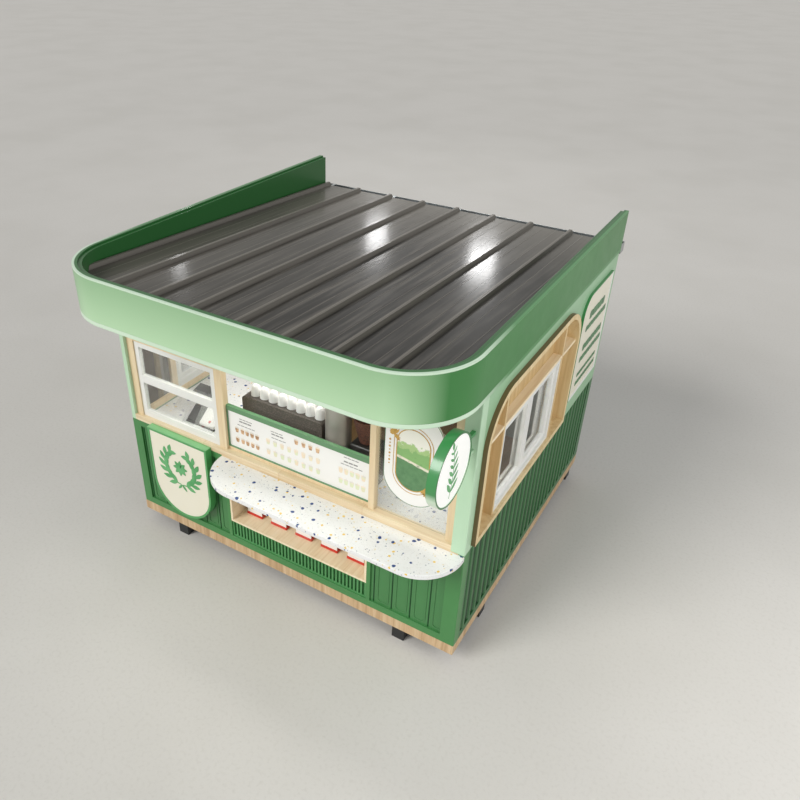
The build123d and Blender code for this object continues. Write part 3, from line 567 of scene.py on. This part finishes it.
def bar(form, left, right, low, high, corner=0.0):
    """A flat bar with rounded corners."""
    made = bmesh.ops.create_grid(form, x_segments=1, y_segments=1, size=0.5)["verts"]
    fit_between(form, made, (left, low, -0.5), (right, high, 0.5))
    if corner:
        round_off(form, made, corner, 4)


def spot(form, across, up, radius, steps=16):
    """A flat round spot."""
    made = bmesh.ops.create_circle(form, cap_ends=True, segments=steps, radius=radius)["verts"]
    bmesh.ops.translate(form, vec=(across, up, 0.0), verts=made)


def stadium(form, across, low, high, half, line=0.0):
    """A flat shape with straight sides and round ends, or only a line of some width along its edge."""
    made = bmesh.ops.create_circle(form, cap_ends=True, segments=64, radius=half)["verts"]
    lift = (high - low) / 2 - half
    for vert in made:
        if abs(vert.co.y) > half / 64:
            vert.co.y += math.copysign(lift, vert.co.y)
    bmesh.ops.translate(form, vec=(across, (low + high) / 2, 0), verts=made)
    if line:
        face = made[0].link_faces[0]
        bmesh.ops.inset_region(form, faces=[face], thickness=line, use_boundary=True, use_even_offset=True)
        bmesh.ops.delete(form, geom=[face], context="FACES")


def leaf(form, across, up, length, width, turn):
    """A flat pointed leaf that grows from a point in the direction of an angle."""
    made = bmesh.ops.create_circle(form, cap_ends=True, segments=20, radius=0.5)["verts"]
    for vert in made:
        vert.co.x *= width * (1.0 - 1.7 * abs(vert.co.y) ** 1.6)
        vert.co.y = (vert.co.y + 0.5) * length
    bmesh.ops.rotate(form, cent=(0, 0, 0), matrix=Matrix.Rotation(turn - math.pi / 2, 3, "Z"), verts=made)
    bmesh.ops.translate(form, vec=(across, up, 0.0), verts=made)


def stem(form, centre, radius, width, start, sweep, steps=16):
    """A flat curved line: a short edge turned about a centre."""
    reach = Vector((math.cos(start), math.sin(start), 0.0))
    middle = Vector((*centre, 0.0))
    ends = [form.verts.new(middle + reach * (radius + side * width / 2)) for side in (-1, 1)]
    edge = form.edges.new(ends)
    bmesh.ops.spin(form, geom=[*ends, edge], cent=middle, axis=(0, 0, 1), dvec=(0, 0, 0), angle=sweep, steps=steps,
                   use_merge=False, use_duplicate=False)


def round_from(centre, radius, angle):
    """The place at a distance from a centre, in the direction of an angle."""
    return centre[0] + radius * math.cos(angle), centre[1] + radius * math.sin(angle)


FACING_FRONT = Matrix(((1, 0, 0, 0), (0, 0, -1, 0), (0, 1, 0, 0), (0, 0, 0, 1)))
FACING_RIGHT = Matrix(((0, 0, 1, 0), (1, 0, 0, 0), (0, 1, 0, 0), (0, 0, 0, 1)))
INK_DEPTH = 0.0008
INK_LAYER = 0.00008
INK_LAYERS = 7


def printed(name, facing, reach, draw, finish, depth=INK_DEPTH):
    """Flat shapes on a face that looks one way and lies a distance out from the middle.

    Each separate shape lies a hair higher than the one before, so that none shares a plane with its neighbour."""
    form = bmesh.new()
    draw(form)
    for step, face in enumerate(form.faces):
        if all(len(vert.link_faces) == 1 for vert in face.verts):
            bmesh.ops.translate(form, vec=(0, 0, INK_LAYER * (1 + step % INK_LAYERS)), verts=face.verts[:])
    raised = bmesh.ops.extrude_face_region(form, geom=form.faces[:])["geom"]
    top = [part for part in raised if isinstance(part, bmesh.types.BMVert)]
    bmesh.ops.translate(form, vec=(0, 0, depth), verts=top)
    bmesh.ops.transform(form, matrix=facing @ Matrix.Translation((0, 0, reach)), verts=form.verts[:])
    return finish_piece(name, form, finish)


# ---------------------------------------------------------------- things on the counters inside
machine_low, machine_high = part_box("drinks_machine")
shelf_low, shelf_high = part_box("inner_counter")
COUNTER_Z = shelf_high[2]
RETURN_RIGHT = -0.86
RETURN_REAR = -0.15
BATTEN = 0.03


def extend_counter():
    """The counter's short return along the left wall, its wall batten, and the strip at the sill's foot."""
    form = bmesh.new()
    block(form, (shelf_low[0], shelf_high[1], shelf_low[2]), (RETURN_RIGHT, RETURN_REAR, shelf_high[2]), 0.002)
    finish_piece("counter_return", form, TERRAZZO)
    form = bmesh.new()
    block(form, (shelf_low[0], shelf_high[1], shelf_low[2] - 2 * BATTEN),
          (shelf_low[0] + BATTEN, RETURN_REAR - 0.01, shelf_low[2]), 0.002)
    top_low, top_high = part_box("counter_top")
    sill_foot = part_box("front_sill")[0][2]
    block(form, (top_low[0] + 0.005, top_high[1] - 0.004, top_high[2]),
          (top_high[0] - 0.045, top_high[1] + 0.004, sill_foot + 0.001))
    finish_piece("counter_battens", form, PINE_X)


CUP_OUTLINE = ((0.0385, 0.0), (0.0405, 0.003), (0.0395, 0.008), (0.0365, 0.04), (0.031, 0.068), (0.025, 0.082),
               (0.018, 0.089), (0.009, 0.0915), (0.0, 0.092))
CUP_ROWS = 4
CUPS_IN_ROW = 8
CUP_PITCH_X = 0.083
CUP_PITCH_Y = 0.082
FIRST_CUP = (machine_low[0] + 0.088, machine_low[1] + 0.066)


def stand_cups():
    """Paper cups, upside down in rows on the machine."""
    form = bmesh.new()
    for row in range(CUP_ROWS):
        for step in range(CUPS_IN_ROW):
            place = (FIRST_CUP[0] + step * CUP_PITCH_X, FIRST_CUP[1] + row * CUP_PITCH_Y, machine_high[2])
            turned(form, CUP_OUTLINE, place, 20)
    smooth_shade(finish_piece("paper_cups", form, CUP), math.radians(40))


SPOUT_OUTLINE = ((0.0, 0.0), (0.013, 0.0), (0.017, 0.03), (0.017, 0.06), (0.0, 0.06))
SPOUTS = 3
SPOUT_PITCH = 0.19


def fit_machine():
    """The machine's lid seam, its front door and, on the side where people work, spouts and a drip tray."""
    form = bmesh.new()
    left, front, foot = machine_low
    right, rear, top = machine_high
    block(form, (left + 0.05, front - 0.003, foot + 0.05), (right - 0.05, front, top - 0.07), 0.0012)
    block(form, (left + 0.045, front + 0.03, top), (right - 0.045, rear - 0.03, top + 0.002), 0.0008)
    block(form, (left + 0.06, rear, top - 0.16), (right - 0.06, rear + 0.045, top - 0.03), 0.008)
    finish_piece("machine_panels", form, MACHINE)
    form = bmesh.new()
    block(form, (left + 0.06, rear, foot + 0.02), (right - 0.06, rear + 0.12, foot + 0.05), 0.004)
    for step in range(SPOUTS):
        turned(form, SPOUT_OUTLINE, (left + 0.17 + step * SPOUT_PITCH, rear + 0.035, top - 0.215), 20)
    finish_piece("machine_spouts", form, STEEL)


URN_X = 0.345
URN_Y = -0.9
URN_OUTLINE = ((0.0, 0.0), (0.088, 0.0), (0.095, 0.008), (0.095, 0.66), (0.098, 0.664), (0.098, 0.676),
               (0.09, 0.682), (0.05, 0.702), (0.018, 0.706), (0.014, 0.712), (0.014, 0.722), (0.022, 0.73),
               (0.02, 0.74), (0.0, 0.745))


def stand_urn():
    """The steel urn beside the machine, with its lid and knob, and its tap on the side where people work."""
    form = bmesh.new()
    turned(form, URN_OUTLINE, (URN_X, URN_Y, COUNTER_Z), 48)
    block(form, (URN_X - 0.012, URN_Y + 0.11, COUNTER_Z + 0.06),
          (URN_X + 0.012, URN_Y + 0.13, COUNTER_Z + 0.1), 0.004)
    smooth_shade(finish_piece("steel_urn", form, URN), math.radians(35))


GRINDER_X = 0.56
GRINDER_Y = -0.85
LID_OUTLINE = ((0.0, 0.0), (0.105, 0.0), (0.108, 0.006), (0.108, 0.022), (0.04, 0.03), (0.0, 0.032))
HOPPER_OUTLINE = ((0.0, 0.0), (0.06, 0.0), (0.1, 0.16), (0.1, 0.2), (0.0, 0.21))


def stand_grinder():
    """The grinder at the right: a dark body, a hopper of tea leaves and its lid."""
    form = bmesh.new()
    block(form, (GRINDER_X - 0.1, GRINDER_Y - 0.09, COUNTER_Z),
          (GRINDER_X + 0.1, GRINDER_Y + 0.09, COUNTER_Z + 0.37), 0.022, 3)
    block(form, (GRINDER_X - 0.06, GRINDER_Y - 0.122, COUNTER_Z + 0.1),
          (GRINDER_X + 0.06, GRINDER_Y - 0.09, COUNTER_Z + 0.2), 0.01)
    turned(form, LID_OUTLINE, (GRINDER_X, GRINDER_Y, COUNTER_Z + 0.6))
    smooth_shade(finish_piece("grinder_body", form, DARK), math.radians(35))
    form = bmesh.new()
    turned(form, HOPPER_OUTLINE, (GRINDER_X, GRINDER_Y, COUNTER_Z + 0.375))
    smooth_shade(finish_piece("grinder_leaves", form, TEA), math.radians(35))


TABLET_LEFT = -1.09
TABLET_SEAM = -0.962
TABLET_RIGHT = -0.81
TABLET_FRONT = -0.958
TABLET_REAR = -0.758
STAND_TOP = COUNTER_Z + 0.012
BUTTON_OUTLINE = ((0.0, 0.0), (0.012, 0.0), (0.0115, 0.012), (0.01, 0.014), (0.0, 0.015))
POT_OUTLINE = ((0.0, 0.0), (0.014, 0.0), (0.016, 0.002), (0.018, 0.05), (0.016, 0.052), (0.0, 0.052))
POT_PLACES = ((-1.085, -0.6), (-1.05, -0.565), (-1.055, -0.635))


def stand_till():
    """The order tablet on its stand, the card reader and its slip, the till behind them, and three sauce pots."""
    form = bmesh.new()
    block(form, (TABLET_LEFT - 0.01, TABLET_FRONT - 0.01, COUNTER_Z),
          (TABLET_RIGHT + 0.01, TABLET_REAR + 0.008, STAND_TOP), 0.004)
    wedge(form, (TABLET_LEFT, TABLET_FRONT, STAND_TOP), (TABLET_SEAM, TABLET_REAR, COUNTER_Z + 0.165), 0.12)
    wedge(form, (-0.63, -0.93, COUNTER_Z), (-0.505, -0.76, COUNTER_Z + 0.1), 0.3)
    block(form, (-1.31, -0.71, COUNTER_Z), (-1.13, -0.55, COUNTER_Z + 0.055), 0.012)
    wedge(form, (-1.3, -0.68, COUNTER_Z + 0.05), (-1.15, -0.56, COUNTER_Z + 0.1), 0.35, 0.01)
    finish_piece("tablet_and_till", form, DARK)
    form = bmesh.new()
    wedge(form, (TABLET_SEAM, TABLET_FRONT, STAND_TOP), (TABLET_RIGHT, TABLET_REAR, COUNTER_Z + 0.17), 0.12)
    block(form, (-0.61, -0.975, COUNTER_Z), (-0.53, -0.94, COUNTER_Z + 0.006), 0.001)
    finish_piece("tablet_back", form, SHEET)
    form = bmesh.new()
    turned(form, BUTTON_OUTLINE, (-0.872, -0.928, COUNTER_Z + 0.043), 20)
    finish_piece("tablet_button", form, RED)
    form = bmesh.new()
    for across, deep in POT_PLACES:
        turned(form, POT_OUTLINE, (across, deep, COUNTER_Z), 20)
    finish_piece("sauce_pots", form, CUP)


extend_counter()
stand_cups()
fit_machine()
stand_urn()
stand_grinder()
stand_till()

# ---------------------------------------------------------------- inner faces of the side windows
INNER_WALL_X = abs(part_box("window_backs")[1][0]) - 0.012
CASING = 0.028
CASING_FRONT = -0.769
CASING_REAR = 0.328
STILE = 0.063
LEDGE_FRONT = -1.03
LEDGE_REAR = 0.66
LEDGE_LOW = 1.1
LEDGE_TOP = 1.154
HEAD_LOW = 1.93
HEAD_TOP = 1.98
FRAME = 0.02
RAIL_LOW = 1.215
RAIL_HIGH = 1.87
MULLION = 0.016
MULLION_HALF = 0.035


def case_windows(side):
    """Pine boards round a side window's inner face, and the white frame inside them."""
    def panel(form, y_low, y_high, z_low, z_high, proud):
        across = sorted((side * INNER_WALL_X, side * (INNER_WALL_X - proud)))
        block(form, (across[0], y_low, z_low), (across[1], y_high, z_high), 0.003)

    hand = "right" if side > 0 else "left"
    form = bmesh.new()
    for y_low in (CASING_FRONT, CASING_REAR - STILE):
        panel(form, y_low, y_low + STILE, LEDGE_TOP, HEAD_LOW, CASING)
    panel(form, LEDGE_FRONT, LEDGE_REAR, LEDGE_LOW, LEDGE_TOP, CASING)
    panel(form, CASING_FRONT, CASING_REAR, HEAD_LOW, HEAD_TOP, CASING)
    finish_piece(f"inner_casing_{hand}", form, PINE_Z)
    form = bmesh.new()
    for y_low in (CASING_FRONT + STILE, CASING_REAR - 2 * STILE):
        panel(form, y_low, y_low + STILE, RAIL_LOW, RAIL_HIGH, FRAME)
    panel(form, CASING_FRONT + STILE, CASING_REAR - STILE, LEDGE_TOP, RAIL_LOW, FRAME)
    panel(form, CASING_FRONT + STILE, CASING_REAR - STILE, RAIL_HIGH, HEAD_LOW, FRAME)
    middle = (CASING_FRONT + CASING_REAR) / 2
    panel(form, middle - MULLION_HALF, middle + MULLION_HALF, RAIL_LOW, RAIL_HIGH, MULLION)
    finish_piece(f"inner_frame_{hand}", form, WHITE)


case_windows(1)
case_windows(-1)

# ---------------------------------------------------------------- price board behind the counter
BOARD_FACE = -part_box("menu_board")[0][1]
DRINK_WIDE = 0.038
DRINK_TALL = 0.056
THIN = 0.006
BOLD = 0.011
STROKE = 0.035
# Each heading line: where it starts and ends, its height and its thickness.
HEADINGS = ((-0.39, -0.266, 1.438, THIN), (-0.393, -0.275, 1.416, BOLD), (-0.412, -0.243, 1.382, THIN),
            (-0.099, 0.012, 1.438, THIN), (-0.093, 0.018, 1.416, BOLD), (-0.095, 0.037, 1.384, THIN),
            (0.528, 0.652, 1.46, THIN), (0.529, 0.647, 1.424, BOLD), (0.504, 0.684, 1.398, THIN))
DARK_DRINKS = [(x, z) for z in (1.334, 1.245) for x in (-0.42, -0.368, -0.324, -0.277, -0.23)]
DARK_DRINKS += [(x, 1.432) for x in (0.127, 0.19, 0.249, 0.311)]
PALE_DRINKS = [(-0.128 + 0.063 * step, z) for z in (1.338, 1.247) for step in range(8)]
PALE_DRINKS += [(x, z) for z in (1.342, 1.25) for x in (0.504, 0.549, 0.596, 0.642, 0.689)]


def draw_headings(form):
    """The board's grey heading lines, each in a few short strokes."""
    for start, end, up, tall in HEADINGS:
        strokes = max(3, round((end - start) / STROKE))
        step = (end - start) / strokes
        for count in range(strokes):
            bar(form, start + count * step, start + (count + 0.86) * step, up - tall / 2, up + tall / 2, 0.0015)


def draw_glasses(form, drinks):
    """The lower part of each drawn drink, narrower at its foot."""
    for across, up in drinks:
        made = bmesh.ops.create_grid(form, x_segments=1, y_segments=1, size=0.5)["verts"]
        for vert in made:
            vert.co.x *= DRINK_WIDE * (0.95 if vert.co.y > 0 else 0.6)
            vert.co.y *= DRINK_TALL * 0.62
        bmesh.ops.translate(form, vec=(across, up - DRINK_TALL * 0.18, 0.0), verts=made)
        round_off(form, made, 0.004, 2)


def draw_tops(form):
    """The foam and lid of each drawn drink, with its straw."""
    for across, up in DARK_DRINKS + PALE_DRINKS:
        bar(form, across - DRINK_WIDE * 0.48, across + DRINK_WIDE * 0.48, up + DRINK_TALL * 0.15,
            up + DRINK_TALL * 0.36, 0.004)
        bar(form, across + 0.001, across + 0.004, up + DRINK_TALL * 0.36, up + DRINK_TALL * 0.56)


printed("board_headings", FACING_FRONT, BOARD_FACE, draw_headings, INK)
printed("board_dark_drinks", FACING_FRONT, BOARD_FACE, lambda form: draw_glasses(form, DARK_DRINKS), DRINK_BROWN)
printed("board_pale_drinks", FACING_FRONT, BOARD_FACE, lambda form: draw_glasses(form, PALE_DRINKS), DRINK_PALE)
printed("board_drink_tops", FACING_FRONT, BOARD_FACE, draw_tops, DRINK_TOP)

# ---------------------------------------------------------------- long sign in the right bay
sign_low, sign_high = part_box("hanging_sign")
SIGN_FACE = -sign_low[1]
SIGN_MIDDLE = (sign_low[0] + sign_high[0]) / 2
SIGN_HALF = (sign_high[0] - sign_low[0]) / 2
SPRIG_PLACES = ((0.914, 1.811, 2.1), (1.16, 1.451, -1.0))
BEADS = 8
BEAD_X = 0.885
BEAD_TOP = 1.755
BEAD_PITCH = 0.027


def draw_sign_rim(form):
    """A line along the sign's edge."""
    stadium(form, SIGN_MIDDLE, sign_low[2], sign_high[2], SIGN_HALF, 0.0035)


def draw_field(form):
    """The field that the hill view fills."""
    stadium(form, SIGN_MIDDLE, 1.404, 1.882, 0.12)


def draw_gold_lines(form):
    """Two fine lines round the hill view."""
    stadium(form, SIGN_MIDDLE, 1.378, 1.908, 0.143, 0.0045)
    stadium(form, SIGN_MIDDLE, 1.4, 1.886, 0.124, 0.007)


def draw_gold_sprigs(form):
    """Two small sprigs on the lines, and a row of beads at the left."""
    for across, up, turn in SPRIG_PLACES:
        for step in range(7):
            leaf(form, across, up, 0.05 - 0.003 * step, 0.02, turn + (step - 3) * 0.42)
        for step in range(5):
            leaf(form, across + 0.012, up - 0.03, 0.034, 0.014, turn - 2.4 + step * 0.55)
        spot(form, across, up, 0.011)
    for step in range(BEADS):
        spot(form, BEAD_X, BEAD_TOP - BEAD_PITCH * step, 0.0052 if step % 2 else 0.0075, 12)


printed("sign_rim", FACING_FRONT, SIGN_FACE, draw_sign_rim, BOARD_INK)
printed("sign_picture", FACING_FRONT, SIGN_FACE, draw_field, PICTURE)
printed("sign_gold_lines", FACING_FRONT, SIGN_FACE, draw_gold_lines, GOLD, depth=0.0016)
printed("sign_gold_sprigs", FACING_FRONT, SIGN_FACE, draw_gold_sprigs, GOLD, depth=0.002)

# ---------------------------------------------------------------- leaf signs: the shield and the round sign
WREATH = (-0.955, 0.815)
WREATH_RADIUS = 0.168
WREATH_LEAVES = 7
PETALS = 8
disc_low, disc_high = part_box("disc_faces")
rim_low, rim_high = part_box("disc_sign")
DISC_MIDDLE = ((disc_low[1] + disc_high[1]) / 2, (disc_low[2] + disc_high[2]) / 2)
DISC_LINE_RADIUS = (disc_high[2] - disc_low[2]) / 2 + 0.012
SPRIG_SIZE = 0.3
SPRIG_PAIRS = 6


def draw_wreath(form):
    """Two branches that rise from a tie at the foot and nearly meet at the top, round a small flower."""
    for hand in (-1, 1):
        stem(form, WREATH, WREATH_RADIUS, 0.008, -math.pi / 2 + hand * 0.06, hand * 2.6, 24)
        for step in range(WREATH_LEAVES):
            angle = -math.pi / 2 + hand * (0.3 + 0.36 * step)
            foot = round_from(WREATH, WREATH_RADIUS, angle)
            for side in (-1, 1):
                leaf(form, *foot, 0.096 - 0.003 * step, 0.038, angle + hand * math.pi / 2 + side * 0.62)
        leaf(form, WREATH[0], WREATH[1] - WREATH_RADIUS, 0.07, 0.022, -math.pi / 2 + hand * 0.7)
    for step in range(PETALS):
        leaf(form, *WREATH, 0.074, 0.036, math.pi / 2 + step * math.tau / PETALS)


def draw_sprig(form):
    """A stem that curves to the right, with pairs of leaves that get smaller and one at its tip."""
    radius = SPRIG_SIZE * 1.9
    centre = (DISC_MIDDLE[0] - radius, DISC_MIDDLE[1])
    start = -0.62 * SPRIG_SIZE / radius
    sweep = 1.12 * SPRIG_SIZE / radius
    stem(form, centre, radius, SPRIG_SIZE * 0.02, start, sweep)
    for step in range(SPRIG_PAIRS):
        angle = start + sweep * (0.12 + 0.8 * step / (SPRIG_PAIRS - 1))
        length = SPRIG_SIZE * (0.34 - 0.034 * step)
        for hand in (-1, 1):
            leaf(form, *round_from(centre, radius, angle), length, length * 0.3, angle + math.pi / 2 + hand * 0.8)
    tip = start + sweep
    leaf(form, *round_from(centre, radius, tip), SPRIG_SIZE * 0.22, SPRIG_SIZE * 0.09, tip + math.pi / 2)


def draw_disc_line(form):
    """A line along the round sign's rim."""
    across, up = DISC_MIDDLE
    stadium(form, across, up - DISC_LINE_RADIUS, up + DISC_LINE_RADIUS, DISC_LINE_RADIUS, 0.01)


printed("shield_wreath", FACING_FRONT, -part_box("shield_face")[0][1], draw_wreath, LEAF_INK, 0.003)
printed("disc_line_right", FACING_RIGHT, rim_high[0], draw_disc_line, BOARD_INK)
printed("disc_line_left", FACING_RIGHT, rim_low[0] - INK_DEPTH, draw_disc_line, BOARD_INK)
printed("disc_sprig_right", FACING_RIGHT, disc_high[0], draw_sprig, LEAF_INK)
printed("disc_sprig_left", FACING_RIGHT, disc_low[0] - INK_DEPTH, draw_sprig, LEAF_INK)

# ---------------------------------------------------------------- side board and goods under the counter
side_low, side_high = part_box("side_board")
# Each line of bars, with the same four numbers as a heading line.
BOARD_LINES = ((0.916, 1.33, 1.972, 0.07), (0.862, 1.41, 1.871, 0.05), (0.877, 1.378, 1.7, 0.06),
               (0.85, 1.41, 1.6, 0.05), (0.862, 1.359, 1.452, 0.036), (0.856, 1.4, 1.372, 0.04))
BAR_LENGTHS = (1.15, 2.1, 1.5, 0.9, 1.8)


def draw_board_lines(form):
    """Green bars along the side board's lines, in strokes of uneven length."""
    for start, end, up, tall in BOARD_LINES:
        at = start
        step = 0
        while at < end - 0.02:
            long = min(tall * BAR_LENGTHS[step % len(BAR_LENGTHS)], end - at)
            bar(form, at, at + long - 0.006, up - tall / 2, up + tall / 2, tall * 0.22)
            at += long
            step += 1


def draw_board_painted_highlight(form):
    """Painted highlights: white strips inside the side board's rear and lower edges."""
    bar(form, side_high[1] - 0.024, side_high[1] + 0.006, side_low[2] + 0.02, side_high[2] + 0.004, 0.004)
    bar(form, side_low[1] + 0.002, side_high[1] + 0.006, side_low[2] - 0.006, side_low[2] + 0.022, 0.004)


printed("side_board_lines", FACING_RIGHT, side_high[0], draw_board_lines, BOARD_INK, 0.0015)
printed("side_board_painted_highlight", FACING_RIGHT, side_high[0], draw_board_painted_highlight, SHEET, 0.0036)

goods_low, goods_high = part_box("display_boxes")
BOX_PITCH = 0.241
BOX_WIDE = 0.152
BOX_SKIN = 0.0012
TRAY_HEIGHT = 0.022


def band_boxes():
    """The red tray that each box stands in, with a white card at its front, and the box's lid."""
    trays = bmesh.new()
    cards = bmesh.new()
    left = goods_low[0]
    tray_top = goods_low[2] + TRAY_HEIGHT
    while left < goods_high[0] - 0.01:
        right = left + BOX_WIDE
        block(trays, (left - BOX_SKIN, goods_low[1] - 0.045, goods_low[2]),
              (right + BOX_SKIN, goods_high[1] + BOX_SKIN, tray_top), 0.0015)
        block(cards, (left + 0.004, goods_low[1] - 0.04, tray_top),
              (right - 0.004, goods_low[1] - 0.036, goods_low[2] + 0.075), 0.0008)
        block(cards, (left - BOX_SKIN, goods_low[1] - BOX_SKIN, goods_high[2] - 0.024),
              (right + BOX_SKIN, goods_high[1] + BOX_SKIN, goods_high[2] + BOX_SKIN), 0.0008)
        left += BOX_PITCH
    finish_piece("box_trays", trays, RED)
    finish_piece("box_cards", cards, SHEET)


def back_grille():
    """A screen behind the vent's bars, in a darker green that is painted shade."""
    form = bmesh.new()
    vent_low, vent_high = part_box("vent_grille")
    block(form, (vent_low[0] + 0.002, vent_high[1] + 0.001, vent_low[2] + 0.002),
          (vent_high[0] - 0.002, vent_high[1] + 0.004, vent_high[2] - 0.002), 0.001)
    finish_piece("vent_screen", form, SHADED_SCREEN)


band_boxes()
back_grille()

# ---------------------------------------------------------------- gutter fittings
gutter_low, gutter_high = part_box("gutter")
GUTTER_STRAPS = 5
STRAP_INSET = 0.12
STRAP_HALF = 0.0125


def strap_gutter():
    """Flat straps across the top of the gutter."""
    form = bmesh.new()
    pitch = (gutter_high[0] - gutter_low[0] - 2 * STRAP_INSET) / (GUTTER_STRAPS - 1)
    for step in range(GUTTER_STRAPS):
        across = gutter_low[0] + STRAP_INSET + step * pitch
        block(form, (across - STRAP_HALF, gutter_low[1], gutter_high[2]),
              (across + STRAP_HALF, gutter_high[1], gutter_high[2] + 0.003), 0.001)
    finish_piece("gutter_straps", form, GUTTER)


strap_gutter()

# ---------------------------------------------------------------- floor, surroundings, lights and camera
FLOOR_SIZE = 500.0
AMBIENT = (0.95, 0.97, 1.0, 1.0)
AMBIENT_STRENGTH = 0.4
BACKDROP = (0.62, 0.61, 0.59, 1.0)


def lay_floor():
    """A plain pale floor with a faint mottle."""
    form = bmesh.new()
    bmesh.ops.create_grid(form, x_segments=1, y_segments=1, size=FLOOR_SIZE / 2)
    mesh = bpy.data.meshes.new("floor")
    form.to_mesh(mesh)
    form.free()
    floor = bpy.data.objects.new("floor", mesh)
    bpy.context.scene.collection.objects.link(floor)
    finish = Finish("floor", "#D3D0CA", 0.7)
    finish.fade_in("#C9C6BF", finish.noise(0.6), 0.4, 0.7, 0.5)
    finish.fade_in("#BEBAB2", finish.noise(38.0, 3.0, 0.6), 0.5, 0.75, 0.35)
    mesh.materials.append(finish.material)


def surround():
    """Soft light from all round, and a pale backdrop that the camera, gloss and glass show."""
    world = bpy.data.worlds.new("studio")
    bpy.context.scene.world = world
    world.use_nodes = True
    studio = world.node_tree.nodes
    links = world.node_tree.links
    ambient = studio["Background"]
    ambient.inputs["Color"].default_value = AMBIENT
    ambient.inputs["Strength"].default_value = AMBIENT_STRENGTH
    backdrop = studio.new("ShaderNodeBackground")
    backdrop.inputs["Color"].default_value = BACKDROP
    path = studio.new("ShaderNodeLightPath")
    shown = path.outputs["Is Glossy Ray"]
    for ray in ("Is Transmission Ray", "Is Camera Ray"):
        either = studio.new("ShaderNodeMath")
        either.operation = "MAXIMUM"
        links.new(shown, either.inputs[0])
        links.new(path.outputs[ray], either.inputs[1])
        shown = either.outputs[0]
    mix = studio.new("ShaderNodeMixShader")
    links.new(shown, mix.inputs[0])
    links.new(ambient.outputs[0], mix.inputs[1])
    links.new(backdrop.outputs[0], mix.inputs[2])
    links.new(mix.outputs[0], studio["World Output"].inputs["Surface"])


def aimed(lamp, place, target):
    """A lamp at a place, pointed at a target."""
    made = bpy.data.objects.new(lamp.name, lamp)
    made.location = place
    made.rotation_euler = (Vector(target) - Vector(place)).to_track_quat("-Z", "Y").to_euler()
    made.visible_camera = False
    bpy.context.scene.collection.objects.link(made)
    return made


def soft_light(name, place, target, size, power, color=(1.0, 1.0, 1.0), wide=1.0):
    """An area lamp, square or a number of times as wide as it is deep."""
    lamp = bpy.data.lights.new(name, "AREA")
    lamp.shape = "RECTANGLE"
    lamp.size = size * wide
    lamp.size_y = size
    lamp.energy = power
    lamp.color = color
    return aimed(lamp, place, target)


# Lamps that the roof mirrors: place, size and power.
GLINTS = {"glint_right": ((-3.66, 12.14, 6.0), 0.6, 36.0), "glint_middle": ((-6.65, 12.25, 6.0), 0.5, 24.0),
          "glint_left": ((-8.6, 7.0, 6.0), 0.25, 4.0)}


def light_up():
    """Daylight from the front, soft light from the right, a ceiling lamp inside and small lamps for the roof."""
    daylight = bpy.data.lights.new("daylight", "SUN")
    daylight.energy = 2.14
    daylight.angle = 0.5
    daylight.color = (1.0, 0.99, 0.975)
    aimed(daylight, (-4.0, -7.6, 5.6), (0.0, 0.0, 0.0))
    soft_light("side", (8.0, -2.0, 4.5), (0.0, 0.0, 1.2), 4.0, 270.0)
    ceiling = soft_light("ceiling", (0.0, -0.6, 2.24), (0.0, -0.6, 0.0), 0.5, 27.0, (1.0, 0.98, 0.94), 4.8)
    ceiling.visible_glossy = False
    for name, (place, size, power) in GLINTS.items():
        soft_light(name, place, (0.0, 0.0, 2.4), size, power)


CAMERA_PLACE = (2.7555, -4.671, 4.572)
CAMERA_TURN = 0.5556
CAMERA_DOWN = 0.5674
CAMERA_ROLL = 0.0132


def set_camera():
    """The camera, looking down at the front and right sides."""
    camera = bpy.data.objects.new("camera", bpy.data.cameras.new("camera"))
    camera.data.lens = 34.18
    camera.data.shift_x = 0.0662
    camera.data.shift_y = 0.0037
    camera.data.clip_end = 600.0
    placed = Matrix.Translation(CAMERA_PLACE)
    for angle, axis in ((CAMERA_TURN, "Z"), (math.pi / 2 - CAMERA_DOWN, "X"), (CAMERA_ROLL, "Z")):
        placed = placed @ Matrix.Rotation(angle, 4, axis)
    camera.matrix_world = placed
    bpy.context.scene.collection.objects.link(camera)
    bpy.context.scene.camera = camera


lay_floor()
surround()
light_up()
set_camera()
bpy.context.scene.view_settings.view_transform = "Standard"
